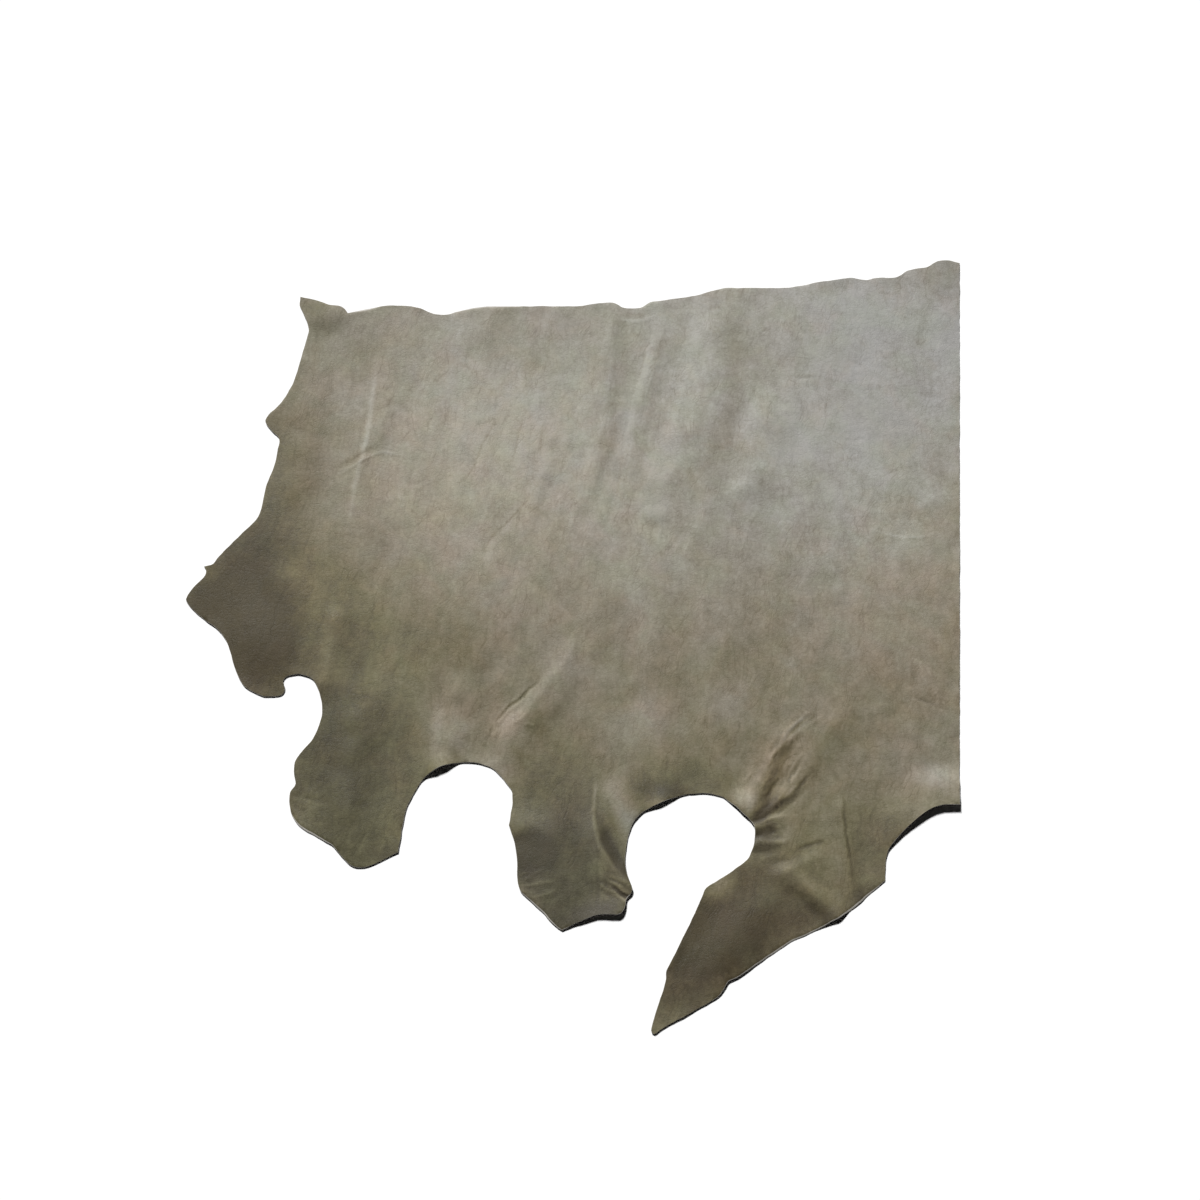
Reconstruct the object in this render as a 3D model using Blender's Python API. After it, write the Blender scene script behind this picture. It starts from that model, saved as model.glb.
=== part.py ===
"""Leather hide, lying on a floor with its grain side up.

One cut piece of hide: a straight trimmed side on the right, the back along the far edge, the ear and
cheek on the left, and shank, belly and flank flaps with round bays between them along the near edge.
Metres, +Z up, the floor at Z = 0, the origin under the middle of the hide's box.
"""

import math
from collections import namedtuple

import bpy
import numpy as np
from mathutils import Vector
from mathutils.geometry import delaunay_2d_cdt
from mathutils.kdtree import KDTree

MM = 0.001
THICKNESS = 2.0  # mm, measured square to the leather
EDGE_STEP = 11.0  # mm between points along the cut edge
EDGE_SOFTENING = 3.0  # mm, how far the knife rounds each turn of the cut
FLAT_STEP = 28.0  # mm between points where the hide lies flat
FOLD_STEP = 12.5  # mm between points where it is lifted or folded
EDGE_CLEAR = 0.45  # share of the local step kept free of points beside the edge
LIFTED = 0.4  # mm above the floor where the closer points begin

# The cut edge, clockwise seen from above, in mm. Each run ends at its point and swells outwards by so
# much at its middle, or inwards where the swell is negative. A sharp end keeps its corner.
Run = namedtuple("Run", "x y swell sharp", defaults=(0.0, False))

EAR_TIP = (-447, 530)
POLL = (
    Run(-400, 515, 2),
    Run(-381, 513.5, 1),
    Run(-371, 502, 1, True),
)
BACK = (
    Run(-320, 514, 0.5),
    Run(-258, 511, 3),
    Run(-229, 500, -1.5),
    Run(-205, 503, -2),
    Run(-150, 514, 2),
    Run(-6, 514),
    Run(45, 520.5, 1),
    Run(58, 512, 1),
    Run(90, 511, -1.5),
    Run(105, 521.5),
    Run(178, 532, -0.5),
    Run(224, 545, 0.5),
)
RUMP = (
    Run(315, 545.5),
    Run(369, 555.5, -1.5),
    Run(423, 563),
    Run(446, 558.5),
    Run(462, 563),
    Run(494, 563),
    Run(511, 575.5),
    Run(543, 580.5, 1),
    Run(557, 591),
    Run(595, 588, 3.5, True),
)
TRIMMED_SIDE = (
    Run(551, -200),
    Run(545.5, -273, 0, True),
)
FLANK_BAY = (
    Run(527, -273),
    Run(490, -287, -3),
    Run(450, -324, -1),
    Run(436, -353, -2.5),
    Run(434, -381, 0, True),
)
FLANK_FLAP = (
    Run(401, -409),
    Run(353, -440.5, 2),
    Run(298, -466, 1.5),
    Run(218, -518),
    Run(205, -522),
    Run(184, -548.5, 3),
    Run(120, -582, 0.5),
    Run(100, -596, 0),
    Run(96, -589, 1),
    Run(102, -569),
    Run(119, -518),
    Run(118, -508),
    Run(173, -400, -1),
    Run(181, -388, 2),
    Run(238, -350, -1.5),
)
BELLY_BAY = (
    Run(248.5, -302, -4),
    Run(206, -262, -1.5),
    Run(149, -258, -4.5),
    Run(94, -278.5, -2),
    Run(73, -299, -2.3),
    Run(62, -345, -2.5),
    Run(63, -370, -1),
    Run(71.5, -390, -0.5),
)
BELLY_FLAP = (
    Run(70, -400, 1),
    Run(62, -406),
    Run(60, -421, 1),
    Run(53, -429, 1.5),
    Run(21, -429.5),
    Run(-29, -451.5, -1.3, True),
    Run(-55, -427.5, 2),
    Run(-88, -398),
    Run(-94, -367, 2.3),
    Run(-98, -327, -1),
    Run(-107, -302, 0, True),
)
SHANK_BAY = (
    Run(-102, -268, -0.5),
    Run(-103, -252),
    Run(-133, -218, -1.5),
    Run(-195, -213.5, -5.5),
    Run(-236, -239, -4),
    Run(-256, -277.5, -0.5),
    Run(-265.5, -341, -0.5, True),
)
SHANK_FLAP = (
    Run(-302, -358.5),
    Run(-333, -360, 3.5),
    Run(-360, -331, 1),
    Run(-401, -309.5),
    Run(-421, -289, 2.5),
    Run(-425.5, -252, 2.5),
    Run(-417.5, -242),
    Run(-421.5, -210, 2),
    Run(-401, -182, 1.5),
)
JAW_BAY = (
    Run(-384, -136, -3),
    Run(-398, -88, -3.3),
    Run(-431, -79, -4.3),
    Run(-444.5, -88, -2.5),
    Run(-440, -102),
)
JAW_FLAP = (
    Run(-448, -111.5, 2.5),
    Run(-470, -112.5),
    Run(-501, -96.5, 1.5),
    Run(-520, -58, 2.5),
    Run(-533, -25, -1),
    Run(-562, 2, -2.8),
    Run(-597, 36, 2.5),
)
CHEEK = (
    Run(-580, 62, 1),
    Run(-570, 71.5),
    Run(-567.5, 83, -1),
    Run(-572, 87.5, 0, True),
    Run(-559, 90.5),
    Run(-551, 102.5),
    Run(-500.5, 157, 1),
    Run(-491, 177, -1.5),
)
NECK = (
    Run(-484, 218),
    Run(-473, 250),
    Run(-468, 287),
    Run(-475, 300, -2.5),
    Run(-493, 322, 2),
    Run(-476, 342.5, 1.5),
    Run(-453, 381, -2),
    Run(-438, 441, -1),
    Run(-431, 471),
    Run(-436.5, 492, -1),
    Run(-447.5, 514),
    Run(*EAR_TIP, 0, True),
)
CUT_EDGE = (
    POLL + BACK + RUMP + TRIMMED_SIDE + FLANK_BAY + FLANK_FLAP + BELLY_BAY + BELLY_FLAP
    + SHANK_BAY + SHANK_FLAP + JAW_BAY + JAW_FLAP + CHEEK + NECK
)

# The main folds, in mm: a ridge of leather along its path, so wide to each side of its crest, looking
# along the path, and so high above the floor. The crest is round at 0 and sharp at 1, and the taper is
# the share of the fold's height that is left at the path's end. A path may run out past the cut edge.
Fold = namedtuple("Fold", "name path left right height crest taper", defaults=(0.3, 1.0))
FOLDS = (
    Fold("neck ridge", (
        (-312, 480), (-316, 440), (-325, 372), (-333, 300), (-339, 240), (-346, 190), (-357, 110),
    ), 40, 16, 2.1, 0.1),
    Fold("neck side swell", ((-430, 400), (-424, 330), (-432, 250), (-462, 150)), 40, 60, 3),
    Fold("back swell", ((52, 560), (46, 494), (38, 400), (24, 300), (14, 238), (0, 160)), 26, 46, 2.6),
    Fold("back ridge", (
        (136, 530), (125, 483), (98, 400), (74, 300), (52, 180), (38, 90),
    ), 34, 15, 2.1, 0.25, 0.7),
    Fold("second back ridge", (
        (206, 590), (202, 514), (198, 440), (188, 380), (168, 320), (150, 270), (134, 215),
        (120, 150),
    ), 84, 48, 4.5),
    Fold("rump ridge", ((300, 400), (284, 340), (268, 280), (250, 225), (226, 160)), 70, 40, 3),
    Fold("belly crease ridge", (
        (-124, -230), (-100, -162), (-66, -114), (-34, -74), (-4, -34),
    ), 27, 54, 5, 0.1, 0.4),
    Fold("belly swell", ((-60, -110), (-20, -50), (24, 14), (60, 90)), 44, 60, 2.5),
    Fold("shank ridge", ((-180, -70), (-190, -140), (-195, -216)), 46, 30, 4),
    Fold("shank swell", ((-320, -60), (-330, -140), (-340, -250), (-330, -370)), 56, 56, 5),
    Fold("jaw ridge", ((-372, 40), (-376, -20), (-380, -70), (-386, -130)), 34, 18, 3),
    Fold("belly flap ridge", (
        (14, -272), (18, -300), (26, -330), (38, -353), (54, -374), (84, -410),
    ), 17, 44, 5.2, 0.3),
    Fold("belly flap crease", ((-150, -292), (-92, -300), (-60, -308), (-20, -320)), 34, 30, 2),
    Fold("bay end ridge", (
        (218, -318), (236, -288), (253, -258), (268, -228), (282, -199), (294, -178), (306, -160),
        (336, -138),
    ), 38, 24, 6, 0.2, 0.25),
    Fold("second bay end ridge", (
        (232, -318), (262, -282), (284, -263), (304, -247), (317, -232), (331, -216), (344, -196),
    ), 22, 17, 3.6, 0.1, 0.6),
    Fold("bay end swell", ((318, -240), (340, -206), (356, -172), (384, -118)), 40, 34, 2.5),
    Fold("third bay end ridge", (
        (220, -312), (254, -299), (276, -291), (304, -282),
    ), 10, 26, 4, 0.3, 0.5),
    Fold("fourth bay end ridge", (
        (222, -334), (254, -326), (284, -326), (310, -322),
    ), 9, 18, 2.6, 0.3, 0.5),
    Fold("flank flap groove", ((262, -380), (296, -366), (330, -350), (366, -342)), 18, 46, 3, 0.1),
    Fold("flank flap ridge", (
        (380, -468), (366, -440), (354, -420), (341, -405), (324, -390), (300, -376), (276, -366),
    ), 28, 30, 6.2, 0, 0.5),
    Fold("flank seam", (
        (386, -424), (384, -396), (379, -360), (375, -310), (371, -260), (369, -226),
    ), 60, 22, 3.6, 0.2, 0.2),
)

# Broad lifts, in mm: the middle of each, its reach to either side, its turn in degrees and its height.
# Those that lie past the cut edge lift that edge off the floor.
Lift = namedtuple("Lift", "name x y reach_x reach_y turn height")
LIFTS = (
    Lift("flank bay edge", 530, -300, 130, 92, 8, 12),
    Lift("shank bay edge", -205, -236, 32, 54, 0, 12),
    Lift("belly bay edge", 118, -280, 32, 46, 0, 6),
    Lift("belly flap shoulder", 60, -270, 46, 60, 0, 3.2),
    Lift("belly flap middle", -40, -350, 90, 110, 0, 5),
    Lift("belly flap corner", 50, -440, 84, 46, 0, 7),
    Lift("bay end rim", 232, -262, 30, 34, -30, 2),
    Lift("flank flap root", 330, -300, 110, 110, -30, 3),
    Lift("flank flap shank", 214, -470, 58, 120, -38, 5),
    Lift("jaw flap", -478, -22, 62, 84, 20, 4),
    Lift("poll", -404, 498, 44, 36, -15, 5),
    Lift("saddle bump", 107, 170, 27, 20, 0, 2.0),
    Lift("second saddle bump", 236, 214, 30, 24, 0, 1.2),
)


def run_points(start, run, step=1.5):
    """Points along one run of the cut edge, without its start: a chord with its middle swollen sideways."""
    here, there = np.array(start, float), np.array((run.x, run.y), float)
    along = there - here
    length = math.hypot(*along)
    outwards = np.array((-along[1], along[0])) / length
    share = np.linspace(0, 1, max(2, round(length / step) + 1))[1:, None]
    return here + share * along + 4 * run.swell * share * (1 - share) * outwards


def softened(points, sharp, passes):
    """The closed line with its turns eased, all but at its sharp points."""
    for _ in range(passes):
        eased = points / 2 + (np.roll(points, 1, axis=0) + np.roll(points, -1, axis=0)) / 4
        points = np.where(sharp[:, None], points, eased)
    return points


def spaced(points, step):
    """The open line through these points, redrawn with even steps of about this length."""
    lengths = np.hypot(*np.diff(points, axis=0).T)
    reached = np.concatenate([[0], np.cumsum(lengths)])
    wanted = np.linspace(0, reached[-1], max(2, round(reached[-1] / step) + 1))
    return np.column_stack([np.interp(wanted, reached, points[:, axis]) for axis in (0, 1)])


def cut_edge(step):
    """The cut edge as a closed line with steps of this length, its box centred on the origin."""
    points, sharp = [], []
    start = EAR_TIP
    for run in CUT_EDGE:
        more = run_points(start, run)
        points.extend(more)
        sharp.extend([False] * (len(more) - 1) + [run.sharp])
        start = (run.x, run.y)
    points, sharp = np.array(points), np.array(sharp)
    passes = round(2 * (EDGE_SOFTENING / 1.5) ** 2)
    points = softened(points, sharp, passes)
    corners = np.flatnonzero(sharp)
    line = []
    for here, there in zip(corners, np.roll(corners, -1)):
        count = (there - here) % len(points)
        piece = points[(here + np.arange(count + 1)) % len(points)]
        line.append(spaced(piece, step)[:-1])
    line = np.concatenate(line)
    return line - (line.min(axis=0) + line.max(axis=0)) / 2


def smooth_path(path, step=5.0):
    """A curve through the points of a path, in even steps."""
    knots = np.array(path, float)
    knots = np.vstack([2 * knots[0] - knots[1], knots, 2 * knots[-1] - knots[-2]])
    share = np.linspace(0, 1, 24, endpoint=False)[:, None]
    line = []
    for before, here, there, after in zip(knots, knots[1:], knots[2:], knots[3:]):
        bend = 2 * before - 5 * here + 4 * there - after
        twist = 3 * (here - there) + after - before
        line.append(here + share * ((there - before) + share * (bend + share * twist)) / 2)
    line.append(knots[-2:-1])
    return spaced(np.vstack(line), step)


def hump(share):
    """A round hill of height one that meets the ground softly at a share of one."""
    return 0.5 + 0.5 * np.cos(np.pi * np.clip(np.abs(share), 0, 1))


def ridge(share, crest):
    """A hill of height one: round, or with a crest that is the sharper the nearer crest is to one."""
    pointed = (1 - np.clip(np.sqrt(share**2 + 0.0049) - 0.07, 0, 1)) ** 2
    return (1 - crest) * hump(share) + crest * pointed


def fold_height(fold, places):
    """The height of one fold at these places."""
    line = smooth_path(fold.path)
    ahead = np.gradient(line, axis=0)
    apart = places[:, None, :] - line[None, :, :]
    nearest = (apart**2).sum(axis=2).argmin(axis=1)
    offset = apart[np.arange(len(places)), nearest]
    turn = ahead[nearest]
    turn = turn / np.hypot(*turn.T)[:, None]
    along = (turn * offset).sum(axis=1)
    inner = (nearest > 0) & (nearest < len(line) - 1)
    square_off = np.sqrt(np.maximum((offset**2).sum(axis=1) - along**2, 0))
    away = np.where(inner, square_off, np.hypot(*offset.T))
    on_left = turn[:, 0] * offset[:, 1] - turn[:, 1] * offset[:, 0] > 0
    reached = nearest / (len(line) - 1)
    size = 1 + (fold.taper - 1) * reached
    width = (1 + size) / 2 * np.where(on_left, fold.left, fold.right)
    faded = 1 - hump(np.minimum(reached, 1 - reached) / 0.3)
    return fold.height * size * faded * ridge(away / width, fold.crest)


def lift_height(lift, places):
    """The height of one broad lift at these places."""
    turn = math.radians(lift.turn)
    x, y = (places - (lift.x, lift.y)).T
    along = (x * math.cos(turn) + y * math.sin(turn)) / lift.reach_x
    across = (y * math.cos(turn) - x * math.sin(turn)) / lift.reach_y
    return lift.height * hump(np.hypot(along, across))


def height(places):
    """How high the flesh side stands above the floor, in mm."""
    total = np.zeros(len(places))
    for fold in FOLDS:
        total += fold_height(fold, places)
    for lift in LIFTS:
        total += lift_height(lift, places)
    return total


def rise(places):
    """The vertical measure of the leather's thickness: more where the hide slopes."""
    reach = 2.0
    slope_x = height(places + (reach, 0)) - height(places - (reach, 0))
    slope_y = height(places + (0, reach)) - height(places - (0, reach))
    return THICKNESS * np.sqrt(1 + (slope_x / (2 * reach)) ** 2 + (slope_y / (2 * reach)) ** 2)


def staggered_rows(low, high, step):
    """Points in rows, every second row moved by half a step."""
    row_step = step * math.sqrt(3) / 2
    rows = np.arange(low[1], high[1], row_step)
    found = []
    for number, y in enumerate(rows):
        x = np.arange(low[0] + step / 2 * (number % 2), high[0], step)
        found.append(np.column_stack([x, np.full(len(x), y)]))
    return np.vstack(found)


def inside(places, line):
    """Which places lie inside the closed line."""
    x, y = places.T
    found = np.zeros(len(places), bool)
    for (x1, y1), (x2, y2) in zip(line, np.roll(line, -1, axis=0)):
        if y1 == y2:
            continue
        crosses = (y1 > y) != (y2 > y)
        found ^= crosses & (x < (x2 - x1) * (y - y1) / (y2 - y1) + x1)
    return found


def clear_of(places, others, gap):
    """Which places keep this distance from all the others."""
    near = KDTree(len(others))
    for number, (x, y) in enumerate(others):
        near.insert((x, y, 0), number)
    near.balance()
    return np.array([near.find((x, y, 0))[2] > gap for x, y in places])


def skin_points(edge):
    """Points inside the edge: wide apart where the hide lies flat, closer where it is lifted."""
    low, high = edge.min(axis=0), edge.max(axis=0)
    near = staggered_rows(low, high, FOLD_STEP)
    near = near[inside(near, edge)]
    near = near[clear_of(near, edge, FOLD_STEP * EDGE_CLEAR)]
    near = near[height(near) > LIFTED]
    wide = staggered_rows(low, high, FLAT_STEP)
    wide = wide[inside(wide, edge)]
    wide = wide[clear_of(wide, edge, FLAT_STEP * EDGE_CLEAR)]
    wide = wide[clear_of(wide, near, FOLD_STEP * 0.9)]
    return np.vstack([near, wide])


def hide_mesh():
    """The hide's solid: a flesh side, a grain side above it and the cut edge between them."""
    edge = cut_edge(EDGE_STEP)[::-1]
    places = np.vstack([edge, skin_points(edge)])
    count = len(edge)
    ring = [(n, (n + 1) % count) for n in range(count)]
    plan = delaunay_2d_cdt([Vector(place) for place in places], ring, [], 1, 1e-6)
    places = np.array([tuple(place) for place in plan[0]])
    origins = [min(made_from) if made_from else None for made_from in plan[3]]
    rim = [origins.index(n) for n in range(count)]
    bottom = height(places)
    top = bottom + rise(places)
    total = len(places)
    points = np.vstack([np.column_stack([places, bottom]), np.column_stack([places, top])]) * MM
    faces = []
    for a, b, c in plan[2]:
        faces.append((a, c, b))
        faces.append((a + total, b + total, c + total))
    for here, there in zip(rim, rim[1:] + rim[:1]):
        faces.append((here, there, there + total))
        faces.append((here, there + total, here + total))
    mesh = bpy.data.meshes.new("hide")
    mesh.from_pydata([tuple(point) for point in points], [], faces)
    mesh.validate()
    mesh.update()
    return mesh


def leather():
    """Grey taupe leather with a dull finish."""
    material = bpy.data.materials.new("leather")
    material.use_nodes = True
    surface = material.node_tree.nodes["Principled BSDF"]
    surface.inputs["Base Color"].default_value = (0.245, 0.222, 0.178, 1)
    surface.inputs["Roughness"].default_value = 0.55
    return material


for leftover in list(bpy.data.objects):
    bpy.data.objects.remove(leftover)

hide = bpy.data.objects.new("hide", hide_mesh())
hide.data.materials.append(leather())
bpy.context.scene.collection.objects.link(hide)
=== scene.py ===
"""Leather hide lying on a pale floor with its grain side up.

The sheet follows the outline and the main folds of its solid. Its fine creases, its stains, the painted
light and shade on its folds and the three finishes of the leather (grain side, flesh side and cut edge)
are made here.
Sizes are in mm until the mesh is made, with the floor at 0.
"""

import math
from collections import namedtuple

import bpy
import numpy as np
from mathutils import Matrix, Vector, noise
from mathutils.geometry import delaunay_2d_cdt
from mathutils.kdtree import KDTree


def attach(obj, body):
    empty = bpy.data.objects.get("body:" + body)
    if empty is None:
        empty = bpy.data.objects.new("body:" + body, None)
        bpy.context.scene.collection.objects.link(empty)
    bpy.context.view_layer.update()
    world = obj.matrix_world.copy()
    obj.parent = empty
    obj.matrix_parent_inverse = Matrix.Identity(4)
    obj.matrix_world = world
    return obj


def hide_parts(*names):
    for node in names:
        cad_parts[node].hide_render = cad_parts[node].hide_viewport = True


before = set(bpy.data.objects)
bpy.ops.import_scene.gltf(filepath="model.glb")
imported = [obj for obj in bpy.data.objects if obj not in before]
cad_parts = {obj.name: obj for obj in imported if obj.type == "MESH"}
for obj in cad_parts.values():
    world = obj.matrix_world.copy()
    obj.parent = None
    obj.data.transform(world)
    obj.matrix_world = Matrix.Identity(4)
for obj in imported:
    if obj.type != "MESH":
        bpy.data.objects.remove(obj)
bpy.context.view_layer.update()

MM = 0.001
THICKNESS = 2.0  # measured square to the leather
EDGE_SOFTENING = 3.0  # how far the knife rounds each turn of the cut
EDGE_STEP = 3.6  # between points along the cut edge
EDGE_ROUNDING = 0.45  # the worn corner between the cut edge and either side
GRAIN_STEP = 4.6  # between points of the grain side
CREASE_STEP = 2.8  # between them in a crease
FLESH_STEP = 20.0  # between points of the flesh side
FLESH_FOLD_STEP = 5.0  # between them under a fold
CURL_REACH = 16.0  # from the cut edge, how far in it curls
CURL_HEIGHT = 1.6  # how high it curls at most
CURL_SIZE = 34.0  # of the lumps that it curls in
DRAWING_STEP = 1.5  # between points of the cut edge while its turns are eased
CREST_ROUNDING = 0.07  # how blunt the sharpest crest is, as a share of its fold's width
SLOPE_REACH = 2.0  # how far off the leather's slope is measured
STRETCH_REACH = 4.5  # the same for how sharply it is bent
LEAST_EDGE = 0.2  # what is left of the cut edge's height at the widest bevel
CREASED_FROM = 0.25  # how uneven the grain side is where its points stand close
LIFTED_FROM = 0.3  # how high the flesh side is where its points stand close
SHARP_TURN = 38  # degrees between two faces whose edge is shown sharp

# ---------------------------------------------------------------------------------- outline and folds

# The cut edge, clockwise seen from above. Each run ends at its point and swells outwards by so much at
# its middle, or inwards where the swell is negative. A sharp end keeps its corner.
Run = namedtuple("Run", "x y swell sharp", defaults=(0.0, False))

EAR_TIP = (-447, 530)
POLL = (
    Run(-400, 515, 2),
    Run(-381, 513.5, 1),
    Run(-371, 502, 1, True),
)
BACK = (
    Run(-320, 514, 0.5),
    Run(-258, 511, 3),
    Run(-229, 500, -1.5),
    Run(-205, 503, -2),
    Run(-150, 514, 2),
    Run(-6, 514),
    Run(45, 520.5, 1),
    Run(58, 512, 1),
    Run(90, 511, -1.5),
    Run(105, 521.5),
    Run(178, 532, -0.5),
    Run(224, 545, 0.5),
)
RUMP = (
    Run(315, 545.5),
    Run(369, 555.5, -1.5),
    Run(423, 563),
    Run(446, 558.5),
    Run(462, 563),
    Run(494, 563),
    Run(511, 575.5),
    Run(543, 580.5, 1),
    Run(557, 591),
    Run(595, 588, 3.5, True),
)
TRIMMED_SIDE = (
    Run(551, -200),
    Run(545.5, -273, 0, True),
)
FLANK_BAY = (
    Run(527, -273),
    Run(490, -287, -3),
    Run(450, -324, -1),
    Run(436, -353, -2.5),
    Run(434, -381, 0, True),
)
FLANK_FLAP = (
    Run(401, -409),
    Run(353, -440.5, 2),
    Run(298, -466, 1.5),
    Run(218, -518),
    Run(205, -522),
    Run(184, -548.5, 3),
    Run(120, -582, 0.5),
    Run(100, -596, 0),
    Run(96, -589, 1),
    Run(102, -569),
    Run(119, -518),
    Run(118, -508),
    Run(173, -400, -1),
    Run(181, -388, 2),
    Run(238, -350, -1.5),
)
BELLY_BAY = (
    Run(248.5, -302, -4),
    Run(206, -262, -1.5),
    Run(149, -258, -4.5),
    Run(94, -278.5, -2),
    Run(73, -299, -2.3),
    Run(62, -345, -2.5),
    Run(63, -370, -1),
    Run(71.5, -390, -0.5),
)
BELLY_FLAP = (
    Run(70, -400, 1),
    Run(62, -406),
    Run(60, -421, 1),
    Run(53, -429, 1.5),
    Run(21, -429.5),
    Run(-29, -451.5, -1.3, True),
    Run(-55, -427.5, 2),
    Run(-88, -398),
    Run(-94, -367, 2.3),
    Run(-98, -327, -1),
    Run(-107, -302, 0, True),
)
SHANK_BAY = (
    Run(-102, -268, -0.5),
    Run(-103, -252),
    Run(-133, -218, -1.5),
    Run(-195, -213.5, -5.5),
    Run(-236, -239, -4),
    Run(-256, -277.5, -0.5),
    Run(-265.5, -341, -0.5, True),
)
SHANK_FLAP = (
    Run(-302, -358.5),
    Run(-333, -360, 3.5),
    Run(-360, -331, 1),
    Run(-401, -309.5),
    Run(-421, -289, 2.5),
    Run(-425.5, -252, 2.5),
    Run(-417.5, -242),
    Run(-421.5, -210, 2),
    Run(-401, -182, 1.5),
)
JAW_BAY = (
    Run(-384, -136, -3),
    Run(-398, -88, -3.3),
    Run(-431, -79, -4.3),
    Run(-444.5, -88, -2.5),
    Run(-440, -102),
)
JAW_FLAP = (
    Run(-448, -111.5, 2.5),
    Run(-470, -112.5),
    Run(-501, -96.5, 1.5),
    Run(-520, -58, 2.5),
    Run(-533, -25, -1),
    Run(-562, 2, -2.8),
    Run(-597, 36, 2.5),
)
CHEEK = (
    Run(-580, 62, 1),
    Run(-570, 71.5),
    Run(-567.5, 83, -1),
    Run(-572, 87.5, 0, True),
    Run(-559, 90.5),
    Run(-551, 102.5),
    Run(-500.5, 157, 1),
    Run(-491, 177, -1.5),
)
NECK = (
    Run(-484, 218),
    Run(-473, 250),
    Run(-468, 287),
    Run(-475, 300, -2.5),
    Run(-493, 322, 2),
    Run(-476, 342.5, 1.5),
    Run(-453, 381, -2),
    Run(-438, 441, -1),
    Run(-431, 471),
    Run(-436.5, 492, -1),
    Run(-447.5, 514),
    Run(*EAR_TIP, 0, True),
)
CUT_EDGE = (
    POLL + BACK + RUMP + TRIMMED_SIDE + FLANK_BAY + FLANK_FLAP + BELLY_BAY + BELLY_FLAP
    + SHANK_BAY + SHANK_FLAP + JAW_BAY + JAW_FLAP + CHEEK + NECK
)

# The main folds: a ridge of leather along its path, so wide to each side of its crest, looking along
# the path, and so high above the floor. The crest is round at 0 and sharp at 1, and the taper is the
# share of the fold's size that is left at the path's end. A path may run out past the cut edge.
Fold = namedtuple("Fold", "name path left right height crest taper", defaults=(0.3, 1.0))
FOLDS = (
    Fold("neck ridge", ((-312, 480), (-316, 440), (-325, 372), (-333, 300), (-339, 240), (-346, 190),
         (-357, 110)), 40, 16, 2.1, 0.1),
    Fold("neck side swell", ((-430, 400), (-424, 330), (-432, 250), (-462, 150)), 40, 60, 3),
    Fold("back swell", ((52, 560), (46, 494), (38, 400), (24, 300), (14, 238), (0, 160)), 26, 46, 2.6),
    Fold("back ridge", ((136, 530), (125, 483), (98, 400), (74, 300), (52, 180), (38, 90)), 34, 15, 2.1,
         0.25, 0.7),
    Fold("second back ridge", ((206, 590), (202, 514), (198, 440), (188, 380), (168, 320), (150, 270),
         (134, 215), (120, 150)), 84, 48, 4.5),
    Fold("rump ridge", ((300, 400), (284, 340), (268, 280), (250, 225), (226, 160)), 70, 40, 3),
    Fold("belly crease ridge", ((-124, -230), (-100, -162), (-66, -114), (-34, -74), (-4, -34)), 27, 54, 5,
         0.1, 0.4),
    Fold("belly swell", ((-60, -110), (-20, -50), (24, 14), (60, 90)), 44, 60, 2.5),
    Fold("shank ridge", ((-180, -70), (-190, -140), (-195, -216)), 46, 30, 4),
    Fold("shank swell", ((-320, -60), (-330, -140), (-340, -250), (-330, -370)), 56, 56, 5),
    Fold("jaw ridge", ((-372, 40), (-376, -20), (-380, -70), (-386, -130)), 34, 18, 3),
    Fold("belly flap ridge", ((14, -272), (18, -300), (26, -330), (38, -353), (54, -374), (84, -410)), 17,
         44, 5.2, 0.3),
    Fold("belly flap crease", ((-150, -292), (-92, -300), (-60, -308), (-20, -320)), 34, 30, 2),
    Fold("bay end ridge", ((218, -318), (236, -288), (253, -258), (268, -228), (282, -199), (294, -178),
         (306, -160), (336, -138)), 38, 24, 6, 0.2, 0.25),
    Fold("second bay end ridge", ((232, -318), (262, -282), (284, -263), (304, -247), (317, -232),
         (331, -216), (344, -196)), 22, 17, 3.6, 0.1, 0.6),
    Fold("bay end swell", ((318, -240), (340, -206), (356, -172), (384, -118)), 40, 34, 2.5),
    Fold("third bay end ridge", ((220, -312), (254, -299), (276, -291), (304, -282)), 10, 26, 4, 0.3, 0.5),
    Fold("fourth bay end ridge", ((222, -334), (254, -326), (284, -326), (310, -322)), 9, 18, 2.6, 0.3,
         0.5),
    Fold("flank flap groove", ((262, -380), (296, -366), (330, -350), (366, -342)), 18, 46, 3, 0.1),
    Fold("flank flap ridge", ((380, -468), (366, -440), (354, -420), (341, -405), (324, -390), (300, -376),
         (276, -366)), 28, 30, 6.2, 0, 0.5),
    Fold("flank seam", ((386, -424), (384, -396), (379, -360), (375, -310), (371, -260), (369, -226)), 60,
         22, 3.6, 0.2, 0.2),
)
FOLD_UNEVENNESS = 0.4  # the share by which the folds' heights vary
FOLD_UNEVENNESS_SIZE = 34.0

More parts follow.
